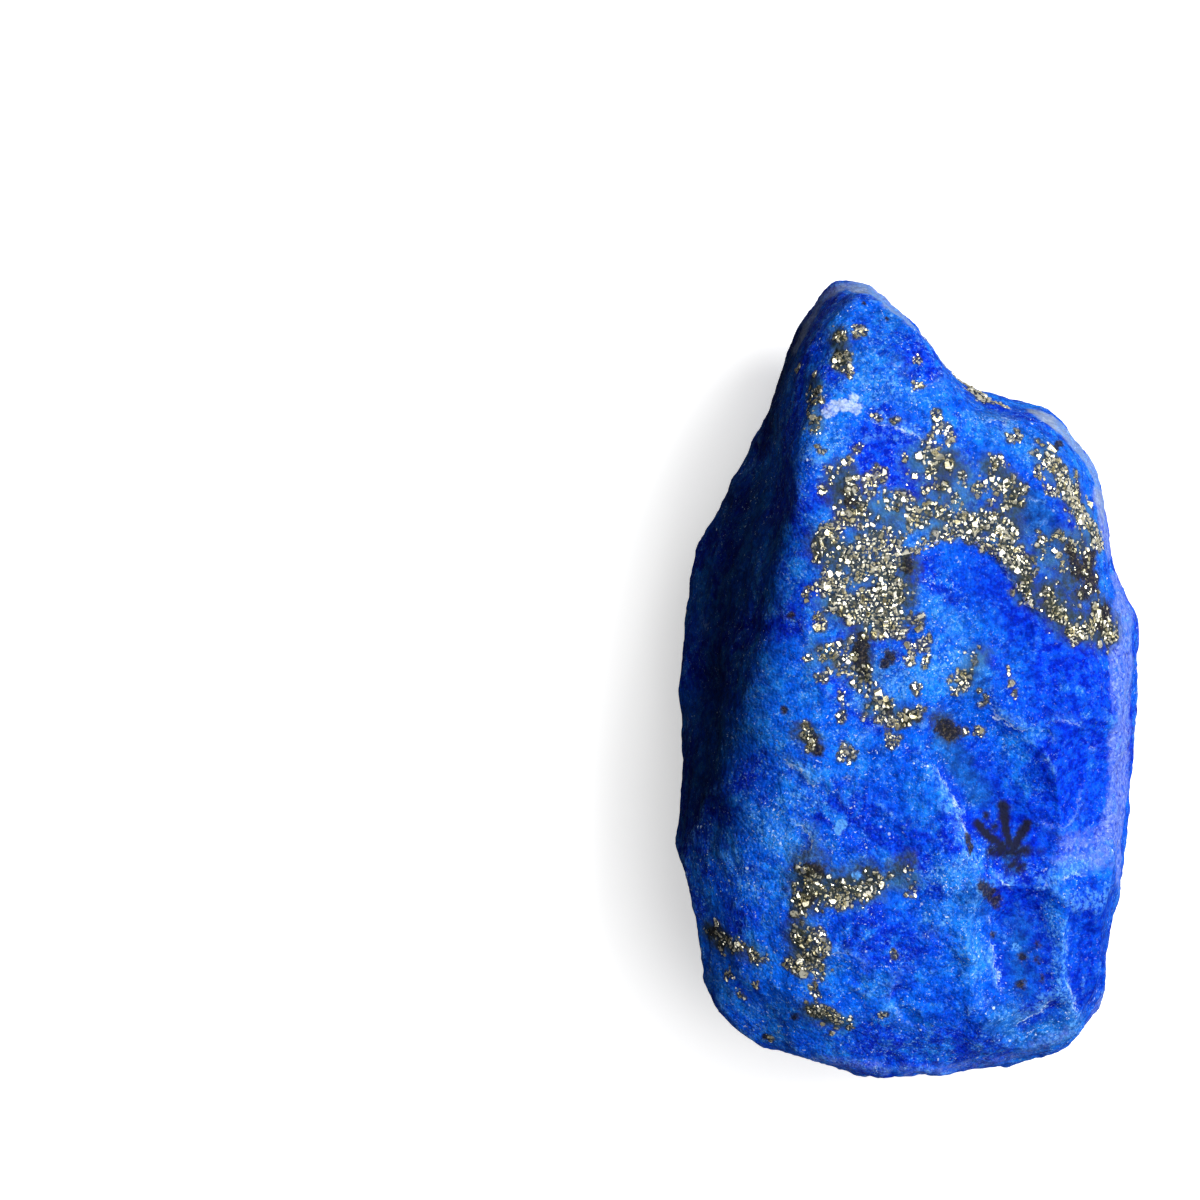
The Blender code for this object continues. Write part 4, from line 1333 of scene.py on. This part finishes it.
@dataclass
class LapisStone:
    """The stone itself, one closed skin."""

    form: StoneForm = field(default_factory=StoneForm)
    markings: Markings = field(default_factory=Markings)
    flakes: Flakes = field(default_factory=Flakes)
    finish: LapisFinish = field(default_factory=LapisFinish)
    divisions: int = 125
    # Each row: the creases' size and height, and their place in the noise
    crease: tuple[tuple[float, float, float], ...] = ((0.9, 0.075, 31.0), (0.45, 0.0375, 47.0))
    tooth: float = 0.030
    tooth_size: float = 0.28
    crust: float = 0.16
    crust_size: float = 0.5
    smoothing: float = 0.75
    upright: float = 0.4
    crest_reach: float = 0.8
    crest_clear: float = 0.4
    crisp: float = 0.045
    crispest: float = 1.5

    def divided_cube(self) -> bpy.types.Mesh:
        """Returns a cube with every side cut into equal squares."""
        work = bmesh.new()
        bmesh.ops.create_cube(work, size=2)
        bmesh.ops.subdivide_edges(
            work, edges=work.edges, cuts=self.divisions - 1, use_grid_fill=True
        )
        bmesh.ops.recalc_face_normals(work, faces=work.faces)
        return new_mesh("lapis_stone", work)

    def place(self, data: bpy.types.Mesh, points: Points) -> Points:
        """Moves a mesh's points.

        Args:
            data: The mesh.
            points: Its new points.

        Returns:
            The way that each one now faces.
        """
        data.vertices.foreach_set("co", points.ravel())
        data.update()
        return read_vectors(data.vertex_normals, "vector")

    def averaged(self, data: bpy.types.Mesh, values: Points, times: int = 1) -> Points:
        """Returns each point's values, blended with its neighbours' some times over."""
        ends = np.empty(len(data.edges) * 2, int)
        data.edges.foreach_get("vertices", ends)
        ends = ends.reshape(-1, 2)
        here, there = np.concatenate([ends, ends[:, ::-1]]).T
        count = np.bincount(here, minlength=len(values))[:, None]
        result = values.reshape(len(values), -1)
        for _ in range(times):
            sums = [np.bincount(here, column[there], len(values)) for column in result.T]
            result = (np.stack(sums, 1) / count + result) / 2
        return result.reshape(values.shape)

    def ridges(self, data: bpy.types.Mesh, points: Points, normals: Points) -> Points:
        """Works out how sharply the surface stands out, for the wear along its edges.

        Args:
            data: The mesh.
            points: Its points.
            normals: The way that each one faces.

        Returns:
            About 0 on flat rock, and 1 on a crisp edge.
        """
        stands = ((points - self.averaged(data, points, 6)) * normals).sum(1)
        return np.clip(self.averaged(data, stands, 2) / self.crisp, 0, self.crispest)

    def build(self) -> bpy.types.Object:
        """Returns the finished stone."""
        data = self.divided_cube()
        points = self.form.surface(read_vectors(data.vertices, "co"))
        points = self.averaged(data, points, 2)
        normals = self.place(data, points)
        points = points + normals * self.form.relief_height(points)[:, None]
        normals = self.place(data, points)
        up = smooth_step(normals[:, 2] / self.upright)
        for ledge in self.form.ledges:
            points[:, 2] -= up * self.form.ledge_drop(points, ledge)
        normals = self.place(data, points)
        values = {mark.value: self.markings.strength(mark, points, normals) for mark in Mark}
        crests = self.form.crests(points)
        crests.wear *= up
        depth = self.flakes.chip(points, normals, crests)
        values["crest"] = crests.signed
        values["crest_wear"] = crests.shown(self.crest_reach, self.crest_clear)
        points = points + normals * self.fine_height(points, depth, values)[:, None]
        points[:, 2] = np.maximum(points[:, 2], 0)
        normals = self.place(data, points)
        values["ridge"] = self.ridges(data, points, normals)
        for name, numbers in values.items():
            layer = data.attributes.new(name, "FLOAT", "POINT")
            layer.data.foreach_set("value", numbers.astype(np.float32))
        self.place(data, (points + self.form.shift) * MM)
        data.shade_smooth()
        data.materials.append(self.finish.material())
        return new_object("lapis_stone_skin", data)

    def fine_height(self, points: Points, depth: Points, values: dict[str, Points]) -> Points:
        """Returns the height of the small flakes, creases, grain and metallic crust."""
        rough = 1 - self.smoothing * values[Mark.SMOOTH.value]
        height = -depth * rough
        for size, share, place in self.crease:
            height += share * rough * creases(lumps(points, size, place))
        height += self.tooth * lumps(points, self.tooth_size, 3.0)
        rich = np.maximum(values[Mark.PYRITE.value], values[Mark.DARK.value])
        height += self.crust * rich * lumps(points, self.crust_size, 71.0)
        return height


@dataclass
class PyriteCrystals:
    """The stone's pyrite: small crystals sunk in the rock, joined in one piece."""

    finish: PyriteFinish = field(default_factory=PyriteFinish)
    count: int = 3600
    tried: int = 16000
    spacing: float = 0.80
    strewn: float = 0.16
    clump: float = 0.8
    middle_size: float = 0.24
    size_spread: float = 0.40
    smallest: float = 0.10
    largest: float = 0.56
    lowest: float = 0.8
    tilt: float = 26.0
    sunk: tuple[float, float] = (0.24, 0.42)
    shapes: int = 12
    breadth: tuple[float, float] = (0.85, 1.1)
    thickness: float = 0.8
    cuts: int = 5
    cut_rise: tuple[float, float] = (-0.2, 0.7)
    cut_away: tuple[float, float] = (0.40, 0.52)
    poorest: float = 0.35
    halo_reach: float = 1.3
    halo_middle: float = 1.15
    seed: int = 12

    def crystal(self, rng: np.random.Generator) -> bpy.types.Mesh:
        """Returns one crystal, about 1 across: a block with its corners broken off."""
        work = bmesh.new()
        bmesh.ops.create_cube(work, size=1.0)
        block = Vector((*rng.uniform(*self.breadth, 2), self.thickness))
        bmesh.ops.scale(work, vec=block, verts=work.verts)
        for _ in range(self.cuts):
            cut = Vector((*rng.normal(size=2), rng.uniform(*self.cut_rise))).normalized()
            bmesh.ops.bisect_plane(
                work,
                geom=work.verts[:] + work.edges[:] + work.faces[:],
                plane_co=cut * rng.uniform(*self.cut_away),
                plane_no=cut,
                clear_outer=True,
            )
            open_edges = [edge for edge in work.edges if edge.is_boundary]
            bmesh.ops.holes_fill(work, edges=open_edges, sides=0)
        bmesh.ops.triangulate(work, faces=work.faces)
        bmesh.ops.recalc_face_normals(work, faces=work.faces)
        return new_mesh("crystal", work)

    def seats(self, stone: bpy.types.Mesh, rng: np.random.Generator) -> tuple[Points, Points]:
        """Chooses where the crystals sit.

        Args:
            stone: The finished stone's mesh.
            rng: The source of chance.

        Returns:
            A place on the stone for each crystal, and the way that the rock faces there.
        """
        corners = np.empty(len(stone.loops), int)
        stone.loops.foreach_get("vertex_index", corners)
        corners = corners.reshape(-1, 4)
        areas = np.empty(len(stone.polygons))
        stone.polygons.foreach_get("area", areas)
        points = read_vectors(stone.vertices, "co")
        normals = read_vectors(stone.vertex_normals, "vector")
        rich, zone = self.read(stone, Mark.PYRITE), self.read(stone, Mark.ZONE)
        clumps = np.clip(lumps(points / MM, self.clump, 90.0) * 3 + 0.1, 0, 1)
        weight = np.clip(rich - self.poorest, 0, 1) ** 1.1
        weight += self.strewn * clumps * np.clip(zone - 0.2, 0, 1)
        weight = areas * (weight * (points[:, 2] > self.lowest * MM))[corners].mean(1)
        picked = rng.choice(len(corners), self.tried, p=weight / weight.sum())
        share = rng.random((self.tried, 4, 1))
        share /= share.sum(1, keepdims=True)
        places = (points[corners[picked]] * share).sum(1)
        return places, normals[corners[picked, 0]]

    def spaced(self, places: Points, sizes: Points) -> list[int]:
        """Picks crystals, in the order given, that stand clear of those picked before."""
        kept: list[int] = []
        for number, (place, size) in enumerate(zip(places, sizes)):
            apart = np.linalg.norm(places[kept] - place, axis=1)
            if np.all(apart > self.spacing * (sizes[kept] + size) / 2):
                kept.append(number)
        return kept[: self.count]

    def read(self, stone: bpy.types.Mesh, mark: Mark) -> Points:
        """Returns one of the stone's own values."""
        values = np.empty(len(stone.vertices), np.float32)
        stone.attributes[mark.value].data.foreach_get("value", values)
        return values

    def surround(self, stone: bpy.types.Mesh, places: Points, sizes: Points) -> None:
        """Marks the rock close round each crystal, for the dull matrix there and a painted shadow at its
        edge.
        """
        points = read_vectors(stone.vertices, "co")
        tree = KDTree(len(points))
        for number, point in enumerate(points):
            tree.insert(point, number)
        tree.balance()
        matrix_and_shadow_rim = np.zeros(len(points), np.float32)
        for place, size in zip(places, sizes):
            reach = self.halo_reach * size
            for _, number, distance in tree.find_range(place, reach):
                matrix_and_shadow_rim[number] = max(matrix_and_shadow_rim[number], self.halo_middle - distance / reach)
        layer = stone.attributes.new("matrix_and_shadow_rim", "FLOAT", "POINT")
        layer.data.foreach_set("value", matrix_and_shadow_rim)

    def build(self, stone: bpy.types.Object) -> bpy.types.Object:
        """Makes the crystals.

        Args:
            stone: The finished stone, which they sit in.

        Returns:
            One object that holds them all.
        """
        rng = np.random.default_rng(self.seed)
        shapes = [self.crystal(rng) for _ in range(self.shapes)]
        places, facings = self.seats(stone.data, rng)
        sizes = self.middle_size * np.exp(rng.normal(0, self.size_spread, self.tried))
        sizes = np.clip(sizes, self.smallest, self.largest) * MM
        kept = self.spaced(places, sizes)
        places, facings, sizes = places[kept], facings[kept], sizes[kept]
        self.surround(stone.data, places, sizes)
        work = bmesh.new()
        for place, facing, size in zip(places, facings, sizes):
            lean = Vector(rng.normal(0, math.tan(math.radians(self.tilt)), 3))
            out = (Vector(facing) + lean).normalized()
            turn = out.to_track_quat("Z", "Y").to_matrix().to_4x4()
            turn = turn @ Matrix.Rotation(rng.uniform(0, math.tau), 4, "Z")
            sunk = Vector(place) - Vector(facing) * size * rng.uniform(*self.sunk)
            copy = shapes[rng.integers(self.shapes)].copy()
            copy.transform(Matrix.Translation(sunk) @ turn @ Matrix.Scale(size, 4))
            work.from_mesh(copy)
            bpy.data.meshes.remove(copy)
        data = new_mesh("pyrite_crystals", work)
        for shape in shapes:
            bpy.data.meshes.remove(shape)
        data.materials.append(self.finish.material())
        return new_object("pyrite_crystals", data)


@dataclass
class Studio:
    """A plain white table, soft light from above and the right, and the camera overhead."""

    table: float = 3.0
    seen_white: float = 0.93
    glow: float = 0.48
    # Painted shade: the light the table bounces is dark on the left and paler on the right
    shaded_bounce: tuple[float, float] = (0.04, 0.34)
    bounce_span: tuple[float, float] = (-24.0, 4.0)
    camera_height: float = 350.0
    aim: tuple[float, float] = (-18.43, 4.71)
    lens: float = 172.0
    sensor: float = 36.0
    clip: tuple[float, float] = (0.01, 20.0)
    sky_low: float = 0.015
    sky_high: float = 0.60
    overhead: float = 1.7

    def floor(self) -> bpy.types.Object:
        """Returns the table's top, white to the camera, with painted shade in the light it bounces on the
        left.
        """
        work = bmesh.new()
        bmesh.ops.create_grid(work, x_segments=1, y_segments=1, size=self.table / 2)
        data = new_mesh("table_top", work)
        material, bench, shader = new_material("white_table")
        seen = bench.add("LightPath").outputs["Is Camera Ray"]
        across = bench.add("SeparateXYZ", Vector=bench.place).outputs[0]
        # Painted shade: bounced light darker towards the left, while the camera still sees white
        shaded_bounce = bench.ramp(across, *self.bounce_span, *self.shaded_bounce)
        white = bench.mix(seen, shaded_bounce, (self.seen_white,) * 3)
        glow = bench.mix(seen, (0.0,) * 3, (self.glow,) * 3)
        bench.give(shader, Base_Color=white, Emission_Color=glow, Emission_Strength=1.0)
        bench.give(shader, Roughness=0.9, Specular_IOR_Level=0.0)
        data.materials.append(material)
        return new_object("table_top", data)

    def light(self, name: str, bearing: float, elevation: float, power: float, width: float) -> None:
        """Adds a distant soft light.

        Args:
            name: Its name.
            bearing: Where it stands, in degrees anticlockwise from +X.
            elevation: How high it stands, in degrees.
            power: Its strength.
            width: How wide it looks, in degrees.
        """
        lamp = bpy.data.lights.new(name, "SUN")
        lamp.energy = power
        lamp.angle = math.radians(width)
        item = bpy.data.objects.new(name, lamp)
        towards = Vector(direction(bearing, elevation))
        item.rotation_euler = towards.to_track_quat("Z", "Y").to_euler()
        bpy.context.scene.collection.objects.link(item)

    def sky(self) -> None:
        """Makes a pale surrounding light, bright overhead, dim at the left and low down."""
        world = bpy.data.worlds.new("studio")
        bpy.context.scene.world = world
        world.use_nodes = True
        bench = Bench(world.node_tree)
        level = bench.ramp(self.towards(bench, 20, 50), -0.1, 1.0, self.sky_low, self.sky_high)
        panel = bench.ramp(self.towards(bench, 15, 62), 0.80, 0.93, 0.0, self.overhead)
        level = bench.math("ADD", level, panel)
        seen = bench.add("LightPath").outputs["Is Camera Ray"]
        level = bench.mix(seen, level, (1.0, 1.0, 1.0))
        bench.feed(world.node_tree.nodes["Background"].inputs["Color"], level)

    def towards(self, bench: Bench, bearing: float, elevation: float) -> Socket:
        """Returns how nearly the sky's direction is the given one, 1 where it is the same."""
        dot = bench.add("VectorMath", {"operation": "DOT_PRODUCT"})
        bench.feed(dot.inputs[0], bench.add("TexCoord").outputs["Generated"])
        dot.inputs[1].default_value = direction(bearing, elevation)
        return dot.outputs["Value"]

    def camera(self) -> None:
        """Adds the camera, looking straight down."""
        data = bpy.data.cameras.new("camera")
        data.lens = self.lens
        data.sensor_width = self.sensor
        data.clip_start, data.clip_end = self.clip
        item = bpy.data.objects.new("camera", data)
        item.location = (self.aim[0] * MM, self.aim[1] * MM, self.camera_height * MM)
        bpy.context.scene.collection.objects.link(item)
        bpy.context.scene.camera = item

    def build(self) -> bpy.types.Object:
        """Sets up the light and the camera, and returns the floor."""
        bpy.context.scene.view_settings.view_transform = "Standard"
        self.sky()
        self.light("key", bearing=28, elevation=48, power=1.9, width=30)
        self.light("fill", bearing=-35, elevation=58, power=0.45, width=40)
        self.camera()
        return self.floor()


def main() -> None:
    """Builds the studio, the stone and its crystals, and reports each."""
    logging.basicConfig(level=logging.INFO, format="%(name)s: %(message)s")
    Studio().build()
    stone = LapisStone().build()
    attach(stone, "root")
    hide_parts("lapis_stone")
    LOG.info("%s has %d faces", stone.name, len(stone.data.polygons))
    crystals = PyriteCrystals().build(stone)
    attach(crystals, "root")
    LOG.info("%s has %d faces", crystals.name, len(crystals.data.polygons))


if __name__ == "__main__":
    main()
